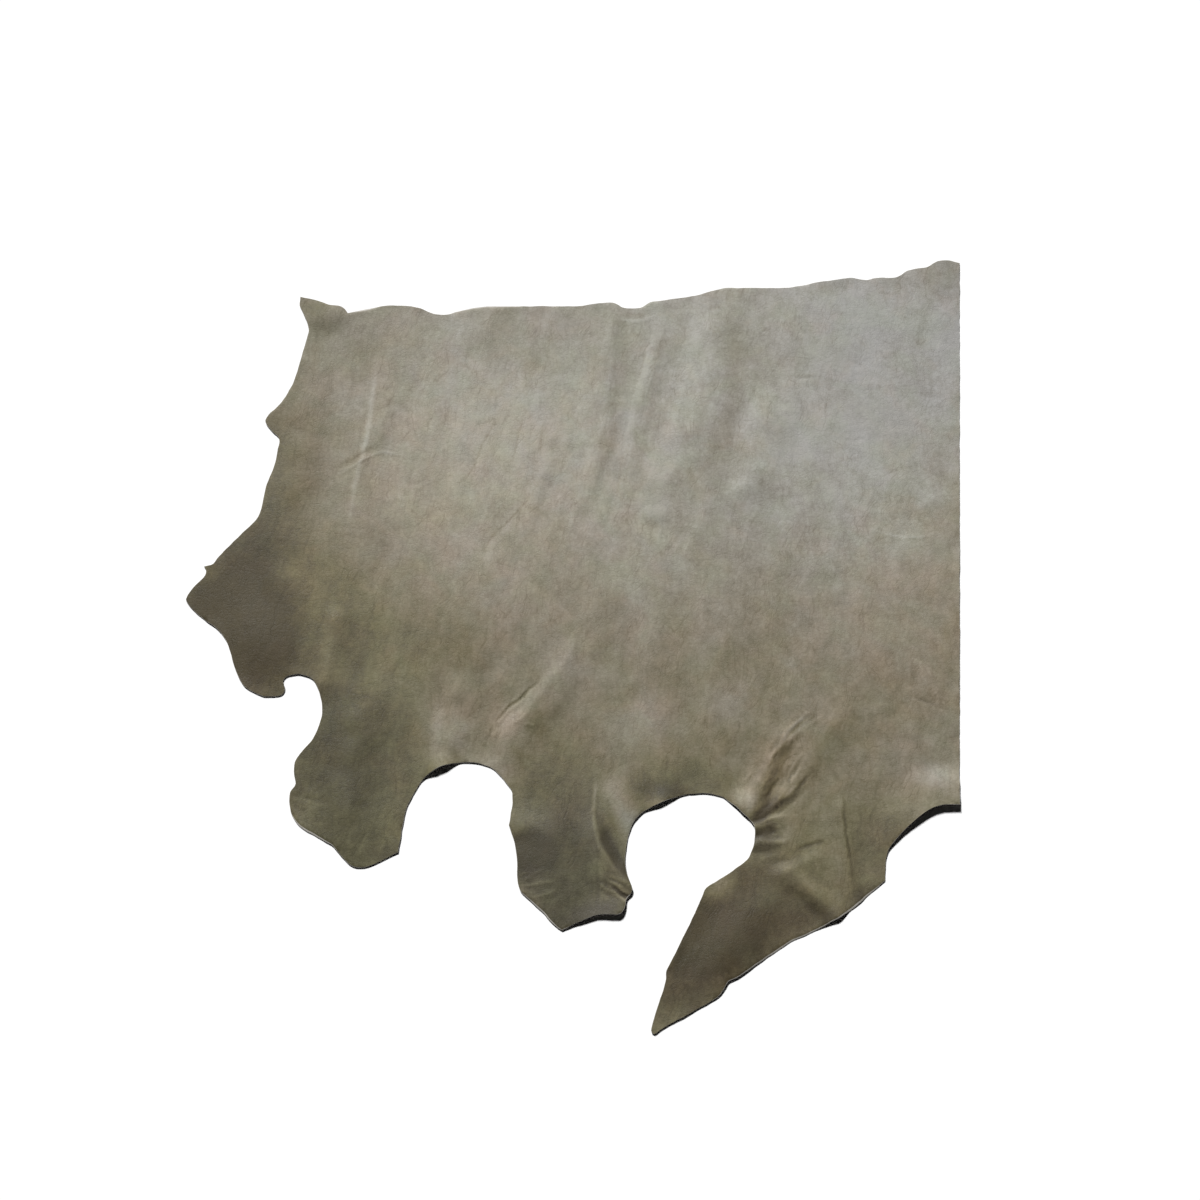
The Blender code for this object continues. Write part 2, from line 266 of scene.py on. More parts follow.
# Broad lifts: the middle of each, its reach to either side, its turn in degrees and its height. Those
# that lie past the cut edge lift that edge off the floor.
Lift = namedtuple("Lift", "name x y reach_x reach_y turn height")
LIFTS = (
    Lift("flank bay edge", 530, -300, 130, 92, 8, 12),
    Lift("shank bay edge", -205, -236, 32, 54, 0, 12),
    Lift("belly bay edge", 118, -280, 32, 46, 0, 6),
    Lift("belly flap shoulder", 60, -270, 46, 60, 0, 3.2),
    Lift("belly flap middle", -40, -350, 90, 110, 0, 5),
    Lift("belly flap corner", 50, -440, 84, 46, 0, 7),
    Lift("bay end rim", 232, -262, 30, 34, -30, 2),
    Lift("flank flap root", 330, -300, 110, 110, -30, 3),
    Lift("flank flap shank", 214, -470, 58, 120, -38, 5),
    Lift("jaw flap", -478, -22, 62, 84, 20, 4),
    Lift("poll", -404, 498, 44, 36, -15, 5),
    Lift("saddle bump", 107, 170, 27, 20, 0, 2.0),
    Lift("second saddle bump", 236, 214, 30, 24, 0, 1.2),
)

# ------------------------------------------------------------------------------ creases and unevenness

# Fine creases in the grain side: a line along its path, so wide to each side, raised or, where the
# height is negative, pressed in, with a lip of leather pushed up on both sides of it.
Crease = namedtuple("Crease", "name path width height lip", defaults=(0.0,))
UPPER_CREASES = (
    Crease("neck cross crease", ((-392, 226), (-374, 232), (-357, 244), (-340, 256), (-325, 264),
           (-301, 270), (-274, 264), (-250, 258)), 3.2, 0.45),
    Crease("neck cross hollow", ((-380, 240), (-362, 252), (-344, 265), (-326, 274), (-306, 279)), 5, -0.5),
    Crease("neck arc", ((-322, 318), (-306, 343), (-284, 349), (-260, 326)), 7, -0.22, 0.1),
    Crease("neck ridge line", ((-320, 420), (-325, 370), (-329, 325), (-336, 268), (-346, 220)), 6, 0.2),
    Crease("back nick", ((52, 496), (66, 491), (82, 489), (100, 492), (114, 500)), 3.2, 0.4),
    Crease("back ridge line", ((116, 486), (103, 440), (90, 397), (80, 360), (71, 324), (60, 260)), 3.2,
           0.25),
    Crease("second back ridge line", ((126, 470), (114, 424), (103, 384), (92, 345), (82, 305)), 3.2, 0.2),
)
LOWER_CREASES = (
    Crease("rump nick", ((330, 391), (345, 395), (360, 397)), 3.2, -0.35, 0.1),
    Crease("second rump nick", ((398, 292), (418, 291), (439, 296)), 3.2, -0.35, 0.1),
    Crease("rump scratch", ((503, 256), (520, 243), (545, 229)), 2.8, -0.4),
    Crease("rump arc", ((436, 147), (468, 136), (500, 133), (530, 140)), 3.2, 0.3),
    Crease("rump arc end", ((484, 160), (500, 164), (520, 158)), 3.2, -0.3),
    Crease("side crease", ((484, -112), (512, -121), (541, -133)), 4, -0.5, 0.1),
    Crease("side line", ((498, -52), (503, -73), (506, -92)), 3.5, 0.4),
    Crease("belly crease line", ((-58, -80), (-66, -88), (-82, -103), (-98, -118), (-113, -128),
           (-122, -140), (-134, -152)), 2.8, -0.9, 0.2),
    Crease("second belly crease line", ((-128, -146), (-136, -166), (-140, -180), (-145, -198)), 3.2, -0.7,
           0.25),
    Crease("belly crease dash", ((-90, -155), (-80, -152), (-68, -157)), 2.8, 0.7),
    Crease("belly flap line", ((21, -226), (19, -250), (18, -275), (19, -296), (22, -312)), 5, 0.8),
    Crease("belly flap nick", ((98, -418), (66, -405), (57, -400), (48, -394), (38, -388)), 3.6, -1.5, 0.3),
    Crease("belly flap nick line", ((66, -392), (52, -382), (36, -378)), 3.0, -0.5, 0.2),
    Crease("belly flap wrinkle", ((-92, -389), (-72, -387), (-56, -383), (-40, -380)), 2.8, 0.35),
    Crease("second belly flap wrinkle", ((-84, -402), (-66, -403), (-50, -398), (-34, -391)), 2.8, 0.4),
    Crease("third belly flap wrinkle", ((-92, -372), (-70, -370), (-50, -362)), 2.8, 0.3),
    Crease("bay end pleat", ((240, -322), (256, -314), (272, -310), (286, -311)), 5, -0.9, 0.4),
    Crease("second bay end pleat", ((236, -300), (252, -296), (266, -286), (276, -276)), 4, -0.9, 0.5),
    Crease("third bay end pleat", ((234, -340), (250, -338), (268, -342)), 4, -0.4, 0.2),
    Crease("belly flap fine line", ((25, -330), (22, -365), (22, -398), (19, -426)), 2.8, -0.5, 0.15),
    Crease("bay end line", ((288, -188), (299, -170), (312, -156), (330, -142), (346, -136)), 3.2, -0.9,
           0.5),
    Crease("second bay end line", ((300, -176), (314, -160), (332, -148), (350, -134)), 3.2, -0.6, 0.4),
    Crease("third bay end line", ((300, -152), (316, -144), (334, -128)), 3.0, -0.4, 0.2),
    Crease("fourth bay end line", ((262, -260), (272, -250), (284, -236)), 3.0, -0.7, 0.3),
    Crease("fifth bay end line", ((272, -282), (286, -268), (296, -258)), 3.0, -0.7, 0.3),
    Crease("sixth bay end line", ((268, -224), (280, -204), (288, -186)), 3.0, -0.7, 0.35),
    Crease("seventh bay end line", ((296, -240), (308, -224), (316, -208)), 3.2, -0.6, 0.3),
    Crease("eighth bay end line", ((308, -252), (320, -238), (332, -226)), 3.0, -0.8, 0.3),
    Crease("bay rim line", ((222, -240), (238, -232), (252, -218)), 4, 0.5),
    Crease("flank flap line", ((306, -336), (326, -330), (356, -325)), 4, -0.7, 0.1),
    Crease("flank seam line", ((376, -240), (378, -270), (380, -300), (383, -330), (386, -372)), 3, -0.6),
    Crease("flank flap scar", ((168, -468), (160, -482), (154, -494)), 4, 0.5),
)

# Veins: each a fine crease, and a darker line along it where it has a tone.
Vein = namedtuple("Vein", "name path height tone", defaults=(0.0,))
VEIN_CREASE_WIDTH = 2.8
VEIN_STROKE_WIDTH = 3
VEINS = (
    Vein("left vein", ((-86, 350), (-97, 312), (-103, 283), (-111, 240)), -0.22, -0.14),
    Vein("second left vein", ((-118, 340), (-140, 310), (-156, 284), (-172, 241), (-200, 208)), -0.2,
         -0.13),
    Vein("third left vein", ((-86, 196), (-110, 163), (-137, 134), (-160, 92)), -0.14, -0.11),
    Vein("fourth left vein", ((-12, 330), (-22, 280), (-38, 232), (-66, 176)), -0.12),
    Vein("fifth left vein", ((-60, 330), (-64, 300), (-66, 262)), -0.18, -0.12),
    Vein("sixth left vein", ((-60, 232), (-84, 196), (-120, 150), (-134, 118)), -0.08, -0.05),
    Vein("seventh left vein", ((-58, 428), (-74, 404), (-88, 386)), -0.12),
)
VEIN_CREASES = tuple(Crease(vein.name, vein.path, VEIN_CREASE_WIDTH, vein.height) for vein in VEINS)
CREASES = UPPER_CREASES + VEIN_CREASES + LOWER_CREASES

# Wrinkles that fan out from a point: which way they aim, in degrees, how far to either side they
# spread, how near and how far from the point they run, how many degrees apart they are.
Fan = namedtuple("Fan", "name x y aim spread near far pitch height")
FANS = (
    Fan("bay end fan", 222, -330, 48, 36, 24, 200, 9, 1.3),
    Fan("belly flap nick fan", 80, -400, 170, 42, 8, 84, 13, 1.3),
    Fan("belly flap left fan", -116, -392, 6, 50, 12, 110, 6.5, 0.9),
    Fan("shank flap left fan", -446, -252, -16, 56, 12, 110, 7, 0.8),
    Fan("shank flap bay fan", -246, -362, 118, 50, 12, 110, 7, 0.8),
    Fan("shank flap hem fan", -350, -372, 74, 50, 14, 120, 7, 0.7),
    Fan("flank flap hem fan", 196, -560, 92, 50, 20, 130, 7, 0.6),
    Fan("flank flap root fan", 236, -352, 6, 50, 10, 120, 13, 1.0),
    Fan("back nick fan", 82, 524, -98, 34, 20, 150, 9, 0.4),
)

# Patches of long soft wrinkles: the middle of each, its reach, which way they run, in degrees, their
# size across and along, and their height.
Wrinkles = namedtuple("Wrinkles", "name x y reach_x reach_y turn across along height")
WRINKLES = (
    Wrinkles("shoulder wrinkles", -60, 240, 260, 240, 74, 20, 130, 1.3),
    Wrinkles("back wrinkles", 120, 430, 280, 200, 84, 18, 120, 0.7),
    Wrinkles("neck wrinkles", -330, 330, 200, 260, 84, 24, 130, 0.9),
    Wrinkles("belly wrinkles", -40, -90, 260, 170, 52, 22, 90, 1.1),
    Wrinkles("flank wrinkles", 300, -250, 170, 170, 60, 20, 70, 0.9),
    Wrinkles("side wrinkles", 460, -120, 220, 200, 4, 16, 70, 0.5),
    Wrinkles("rump wrinkles", 420, 330, 300, 300, 8, 9, 50, 0.22),
)

# Patches of close creases that part the leather into small cushions, told as above.
CRINKLES = (
    Wrinkles("bay end crinkles", 292, -214, 62, 88, 54, 7, 20, 1.5),
    Wrinkles("second bay end crinkles", 272, -304, 60, 50, 14, 7, 20, 1.3),
    Wrinkles("third bay end crinkles", 262, -236, 50, 60, 60, 5, 12, 0.8),
    Wrinkles("nick crinkles", 42, -386, 42, 40, -32, 7, 24, 1.4),
    Wrinkles("belly flap crinkles", -52, -388, 60, 46, 10, 8, 34, 0.8),
    Wrinkles("belly crease crinkles", -104, -132, 54, 66, 48, 7, 22, 0.8),
    Wrinkles("shank flap crinkles", -392, -256, 50, 70, 26, 9, 30, 0.8),
    Wrinkles("flank flap crinkles", 150, -480, 60, 90, 62, 9, 34, 0.7),
    Wrinkles("neck crinkles", -250, 200, 90, 70, 5, 8, 16, 0.35),
    Wrinkles("neck cross crinkles", -300, 262, 70, 30, 10, 7, 18, 0.4),
    Wrinkles("back crinkles", 96, 400, 44, 140, 76, 7, 44, 0.6),
    Wrinkles("rump crinkles", 470, 150, 110, 60, 4, 7, 22, 0.35),
    Wrinkles("jaw crinkles", -470, -40, 90, 80, 60, 10, 34, 0.5),
)

# Soft unevenness of the whole sheet: lumps of such a size across and along a direction, in degrees.
Lumps = namedtuple("Lumps", "name across along turn height")
UNDER_LUMPS = (
    Lumps("broad swells", 150, 190, 70, 1.6),
    Lumps("puckers", 46, 80, 76, 0.7),
)
GRAIN_LUMPS = (
    Lumps("drawn skin", 24, 40, 60, 0.20),
    Lumps("growth lines", 8, 30, 4, 0.07),
    Lumps("pebbling", 9, 9, 0, 0.08),
)
WANDER = 2.6  # how far the folds stray from their drawn paths
WANDER_SIZE = 52.0
WOBBLE = 1.5  # the same for their small turns
WOBBLE_SIZE = 13.0
STRAY_APART = 100.0  # how far apart in the noise the straying to the side and up is taken from
KNIFE_WOBBLE = 0.7  # how far the knife strayed along the cut edge
KNIFE_WOBBLE_SIZE = 11.0
TRUE_CUT = 1.5  # how near the sides of the hide's box it ran true
CUSHION_SINK = 0.2  # the share of their height by which the cushions' creases sink in

# Where in the noise each kind of unevenness is taken from. The rows of a table follow one another.
WANDER_SEED = 3.5
WOBBLE_SEED = 8.5
UNDER_SEED = 10.5
SKIN_SEED = 20.5
KNIFE_SEED = 30.5
CURL_SEED = 40.5
FOLD_SEED = 50.5
WRINKLE_SEED = 60.5
CRINKLE_SEED = 80.5

# Where the knife cut aslant, so that the pale inside of the leather shows from above.
Bevel = namedtuple("Bevel", "name x y reach_x reach_y turn width")
BEVELS = (
    Bevel("flank flap", 290, -490, 150, 60, 30, 1.9),
    Bevel("flank flap corner", 400, -420, 60, 50, 40, 2.2),
    Bevel("shank flap", -400, -320, 60, 50, -30, 2.2),
    Bevel("neck end of the back", -346, 512, 34, 20, 0, 2.4),
    Bevel("back", -150, 508, 74, 24, 0, 2.4),
    Bevel("belly flap", -60, -430, 60, 30, -40, 1.6),
)
WIDEST_BEVEL = 2.4
BEVEL_DEPTH = 0.6  # the share of the thickness that the widest bevel takes off

# --------------------------------------------------------------------------------------------- stains, painted light and shade

# Where the leather is lighter or, where the tone is negative, darker than the rest. Some are its stains;
# others are painted light and shade: paler as a painted highlight where a bump, rim or crest faces the
# light, and darker as painted shade in hollows and on the sides turned from it. Ash, moss and rose are
# how far its colour goes to grey, green and red there.
StainAndPaintedLight = namedtuple("StainAndPaintedLight", "name x y reach_x reach_y turn tone ash moss rose", defaults=(0, 0, 0))
STAINS_AND_PAINTED_LIGHT = (
    # Paler and greyer across the back: partly the leather's own tone, partly a painted sheen.
    StainAndPaintedLight("back", 150, 470, 1000, 620, 0, 0.40, 0.16, 0.08, -0.22),
    StainAndPaintedLight("shoulder", -170, 230, 400, 340, 0, 0.22, -0.3, 0.15, 0.5),
    # Paler and greyer at the rump: partly the leather's own tone, partly a painted sheen.
    StainAndPaintedLight("rump", 500, 430, 330, 320, 0, 0.17, 0.65, -0.1, -0.1),
    StainAndPaintedLight("rump middle", 336, 160, 240, 230, 0, 0.13, 0.3, 0, -0.2),
    StainAndPaintedLight("trimmed side", 520, 190, 170, 200, 0, 0.16, 0, 0.2),
    StainAndPaintedLight("back left", -120, 470, 280, 150, 0, -0.13),
    StainAndPaintedLight("back middle", 160, 440, 160, 160, 0, -0.02),
    StainAndPaintedLight("ear", -424, 513, 40, 24, -20, -0.26),
    # Greyer at the rump's corner: partly the leather's own tone, partly a painted sheen.
    StainAndPaintedLight("rump corner", 588, 470, 60, 90, 0, 0.2, 0.6),
    StainAndPaintedLight("second rump", 462, 304, 110, 80, -10, 0.17, 0.1),
    StainAndPaintedLight("third rump", 312, 296, 90, 90, 0, 0.15),
    StainAndPaintedLight("fourth rump", 366, 200, 80, 60, 0, 0.13),
    StainAndPaintedLight("second cheek edge", -446, 72, 54, 56, 0, 0.26),
    StainAndPaintedLight("eighth belly", 84, -160, 56, 60, 0, 0.13),
    StainAndPaintedLight("ninth belly", 218, -124, 52, 54, 0, 0.17),
    StainAndPaintedLight("second back edge", 232, 536, 44, 24, 0, -0.13),
    StainAndPaintedLight("saddle top", 124, 254, 50, 70, 0, 0.15),
    StainAndPaintedLight("shank flap corner", -284, -346, 34, 26, 0, -0.15),
    # Paler on the rim that rises to the lifted flank bay edge: a painted highlight, with a tint.
    StainAndPaintedLight("second flank bay rim", 536, -226, 40, 26, 0, 0.22, -0.2, 0.2, 0.3),
    StainAndPaintedLight("second flank flap", 184, -472, 64, 50, 40, -0.18, -0.3, 0.4, 0.3),
    StainAndPaintedLight("side", 480, 10, 260, 250, 0, 0.12, 0, 0, 0.4),
    StainAndPaintedLight("neck side", -490, 250, 150, 300, 0, -0.35),
    StainAndPaintedLight("poll", -400, 490, 120, 90, 0, -0.12, 0.3, 0.2, -0.2),
    StainAndPaintedLight("cheek", -514, 4, 250, 210, 0, -0.74, -0.8, 1.0, 1.0),
    StainAndPaintedLight("jaw", -500, -70, 110, 90, 0, -0.08, 0, 0, 0.4),
    StainAndPaintedLight("below the neck", -280, -16, 180, 150, 0, -0.18, -0.3, 0.3),
    StainAndPaintedLight("cheek edge", -402, 18, 58, 90, 14, 0.27),
    StainAndPaintedLight("cheek top", -566, 84, 50, 40, 40, 0.2),
    StainAndPaintedLight("neck point", -474, 345, 40, 56, 0, 0.09),
    StainAndPaintedLight("shank bay top", -126, -214, 46, 36, 0, 0.28),
    StainAndPaintedLight("beside the neck ridge", -345, 400, 36, 110, -5, -0.06),
    StainAndPaintedLight("below the neck ridge", -390, 160, 60, 50, 0, -0.05),
    StainAndPaintedLight("back left edge", -184, 486, 70, 44, 0, 0.18),
    StainAndPaintedLight("back nick", 112, 474, 40, 50, 0, 0.09),
    StainAndPaintedLight("saddle", 104, 176, 44, 74, 0, 0.14),
    StainAndPaintedLight("middle", 120, 120, 170, 170, 0, 0.15, 0, 0.1),
    StainAndPaintedLight("second middle", -22, -60, 60, 60, 40, 0.16, 0, 0, 0.2),
    StainAndPaintedLight("second shoulder", -290, 180, 150, 180, 10, -0.07, -0.2, 0.1),
    StainAndPaintedLight("below the poll", -318, 436, 60, 60, 0, -0.10),
    # Darker above the neck cross crease: a painted shadow.
    StainAndPaintedLight("beside the neck cross crease", -366, 296, 50, 40, 20, -0.08),
    StainAndPaintedLight("saddle foot", 82, 14, 46, 100, 0, 0.17),
    StainAndPaintedLight("second side", 362, -60, 84, 50, 40, -0.10),
    StainAndPaintedLight("third side", 484, -134, 60, 70, 0, -0.06),
    StainAndPaintedLight("shank flap", -350, -220, 200, 230, 0, -0.43, 0, 1.0),
    StainAndPaintedLight("shank flap patch", -372, -178, 60, 34, 20, -0.08, 0, 0.6),
    StainAndPaintedLight("second shank flap patch", -330, -240, 60, 50, 40, -0.06),
    StainAndPaintedLight("third shank flap patch", -290, -290, 40, 60, -20, 0.07, 0, 0.2),
    StainAndPaintedLight("fourth shank flap patch", -300, -90, 70, 50, 30, 0.06, 0, 0.2),
    StainAndPaintedLight("shank flap root", -375, -132, 60, 50, 0, -0.10, 0.5, 0.4),
    StainAndPaintedLight("above the shank flap", -382, -58, 56, 50, 0, 0.21, 0.2),
    StainAndPaintedLight("shank flap hem", -336, -340, 130, 90, 0, -0.14, 0, 0.5, -0.5),
    # Paler on the slope that rises to the lifted shank bay edge: a painted highlight.
    StainAndPaintedLight("shank bay rim", -196, -165, 80, 80, 0, 0.14, 0, 0, 0.2),
    # Darker on the shaded slope left of the shank ridge: painted shade.
    StainAndPaintedLight("beside the shank", -265, -160, 44, 80, 0, -0.07),
    StainAndPaintedLight("belly crease", -112, -148, 40, 50, -35, 0.2, 0, 0, 0.9),
    # Darker on the shaded side of the belly crease ridge: painted shade.
    StainAndPaintedLight("beside the belly crease", -68, -152, 26, 34, 0, -0.16, 0.1, 0.2),
    StainAndPaintedLight("belly", 50, -185, 50, 80, 0, 0.12, 0.2),
    StainAndPaintedLight("second belly", -45, -212, 66, 44, 0, -0.09, 0, 0.1),
    StainAndPaintedLight("fifth belly", 102, -142, 60, 66, 20, 0.16, 0.3, 0, 0.3),
    StainAndPaintedLight("flank", 330, -290, 100, 90, 0, -0.03, 0, 0.2),
    StainAndPaintedLight("side foot", 500, -190, 90, 90, 0, 0.05, 0.2),
    StainAndPaintedLight("third belly", 146, -238, 90, 44, 0, -0.17, 0, 0.2),
    StainAndPaintedLight("sixth belly", -48, -96, 44, 56, -40, 0.08),
    StainAndPaintedLight("seventh belly", 215, -60, 36, 70, -30, -0.05),
    StainAndPaintedLight("fourth belly", -160, -30, 90, 50, 20, -0.06, 0.2, 0, 0.4),
    StainAndPaintedLight("belly edge", 100, -330, 620, 270, 0, -0.15, 0, 0.2),
    StainAndPaintedLight("belly flap", -30, -370, 190, 220, 0, -0.26, 1.0, 0.3),
    StainAndPaintedLight("belly flap middle", -16, -302, 52, 62, 0, -0.15, -0.3, 0.1),
    # Darker on the flap's left side, which falls to the floor: painted shade, with a tint.
    StainAndPaintedLight("belly flap left", -72, -342, 54, 46, 0, -0.6, -0.2, 0.2),
    StainAndPaintedLight("belly flap root", -84, -284, 50, 40, 0, 0.06),
    StainAndPaintedLight("belly flap foot", -12, -414, 80, 44, 0, 0, 0.6, 0.4, -0.4),
    # Darker at the flap's lifted corner: painted shade.
    StainAndPaintedLight("belly flap corner", 22, -430, 60, 30, 0, -0.42),
    StainAndPaintedLight("below the shank bay", 30, -350, 30, 60, 0, -0.06),
    # Paler on the flap's shoulder, which faces the light: a painted highlight.
    StainAndPaintedLight("belly flap shoulder", 44, -262, 30, 44, 0, 0.13),
    # Paler on the rim that rises to the lifted belly bay edge: a painted highlight.
    StainAndPaintedLight("belly bay rim", 70, -302, 34, 48, 0, 0.46),
    # Darker above the belly bay, on the slope up to the lifted edge: painted shade.
    StainAndPaintedLight("above the belly bay", 122, -254, 60, 22, -8, -0.30, 0, 0.2),
    # Paler beside the flap's hollow: a painted highlight.
    StainAndPaintedLight("belly flap hollow side", 24, -360, 26, 34, 0, 0.26),
    StainAndPaintedLight("flank flap root", 194, -386, 40, 34, 30, 0.4),
    # Darker along the flap's lifted hem: painted shade.
    StainAndPaintedLight("belly flap hem", -28, -442, 60, 34, -20, -0.16),
    # Paler on the lifted rim at the bay's end: a painted highlight, with a tint.
    StainAndPaintedLight("bay end rim", 236, -264, 34, 26, -40, 0.42, -0.3, 0.2, 0.3),
    # Darker among the pleats at the bay's end: painted shade.
    StainAndPaintedLight("bay end", 258, -314, 36, 34, 0, -0.36),
    StainAndPaintedLight("bay end blush", 290, -220, 90, 120, -30, 0, -0.2, -0.3, 0.5),
    StainAndPaintedLight("flank flap", 210, -460, 200, 150, 30, -0.54, -0.3, 0.2, 0.5),
    StainAndPaintedLight("flank flap tip", 130, -550, 120, 110, 0, -0.23, 0, 0.2),
    StainAndPaintedLight("flank flap nick", 190, -540, 54, 28, 30, 0.12),
    StainAndPaintedLight("flank flap middle", 164, -450, 28, 50, -20, -0.08),
    StainAndPaintedLight("flank flap patch", 250, -410, 44, 26, 20, 0.09, 0.8),
    # Darker on the flank flap's slope down to its hem: painted shade.
    StainAndPaintedLight("flank flap hem", 318, -432, 58, 38, 30, -0.2, 0, 0, 0.3),
    # Paler on the raised corner of the hem: a painted highlight.
    StainAndPaintedLight("flank flap corner", 364, -412, 26, 24, 0, 0.12),
    # Darker below it, at the hem: painted shade.
    StainAndPaintedLight("third flank flap corner", 362, -432, 46, 30, 36, -0.28),
    # Paler on the lit side of the seam: a painted highlight.
    StainAndPaintedLight("beside the seam", 362, -345, 30, 60, 0, 0.08, 0, 0.2),
    # Darker right of the seam, down to the flap's corner: painted shade.
    StainAndPaintedLight("flank bay", 430, -336, 64, 110, 0, -0.22),
    # Darker at the flank flap's corner: painted shade.
    StainAndPaintedLight("second flank flap corner", 404, -408, 36, 36, 0, -0.3),
    # Paler on the rim that rises to the lifted flank bay edge: a painted highlight, with a rosy tint.
    StainAndPaintedLight("flank bay rim", 510, -228, 76, 30, 0, 0.27, 0, 0.2, 0.3),
    StainAndPaintedLight("back edge", 378, 548, 50, 20, 0, -0.14),
    StainAndPaintedLight("back edge corner", 576, 560, 50, 50, 0, -0.03, 0.8),
    # The saddle bumps: paler on their lit tops and darker at the foot, as painted highlight and painted
    # shade.
    StainAndPaintedLight("saddle bump top", 108, 184, 30, 18, 10, 0.3),
    StainAndPaintedLight("saddle bump foot", 102, 154, 20, 20, 0, -0.16),
    StainAndPaintedLight("second saddle bump top", 236, 218, 36, 28, 0, 0.06),
    # Darker in the neck's hollows: painted shade, the first with a tint.
    StainAndPaintedLight("neck hollow", -314, 292, 24, 36, 0, -0.09, 0.2, 0.2),
    StainAndPaintedLight("second neck hollow", -368, 250, 28, 16, 0, -0.07),
)

# The same along a line, so wide to each side of it. Most strokes are painted light and shade: paler
# along the lit crests and sides of folds and creases, as painted highlights, and darker in their hollows,
# cracks and shaded sides, as painted shade. The veins and the scar are the leather's own marks.
Stroke = namedtuple("Stroke", "name path width tone")
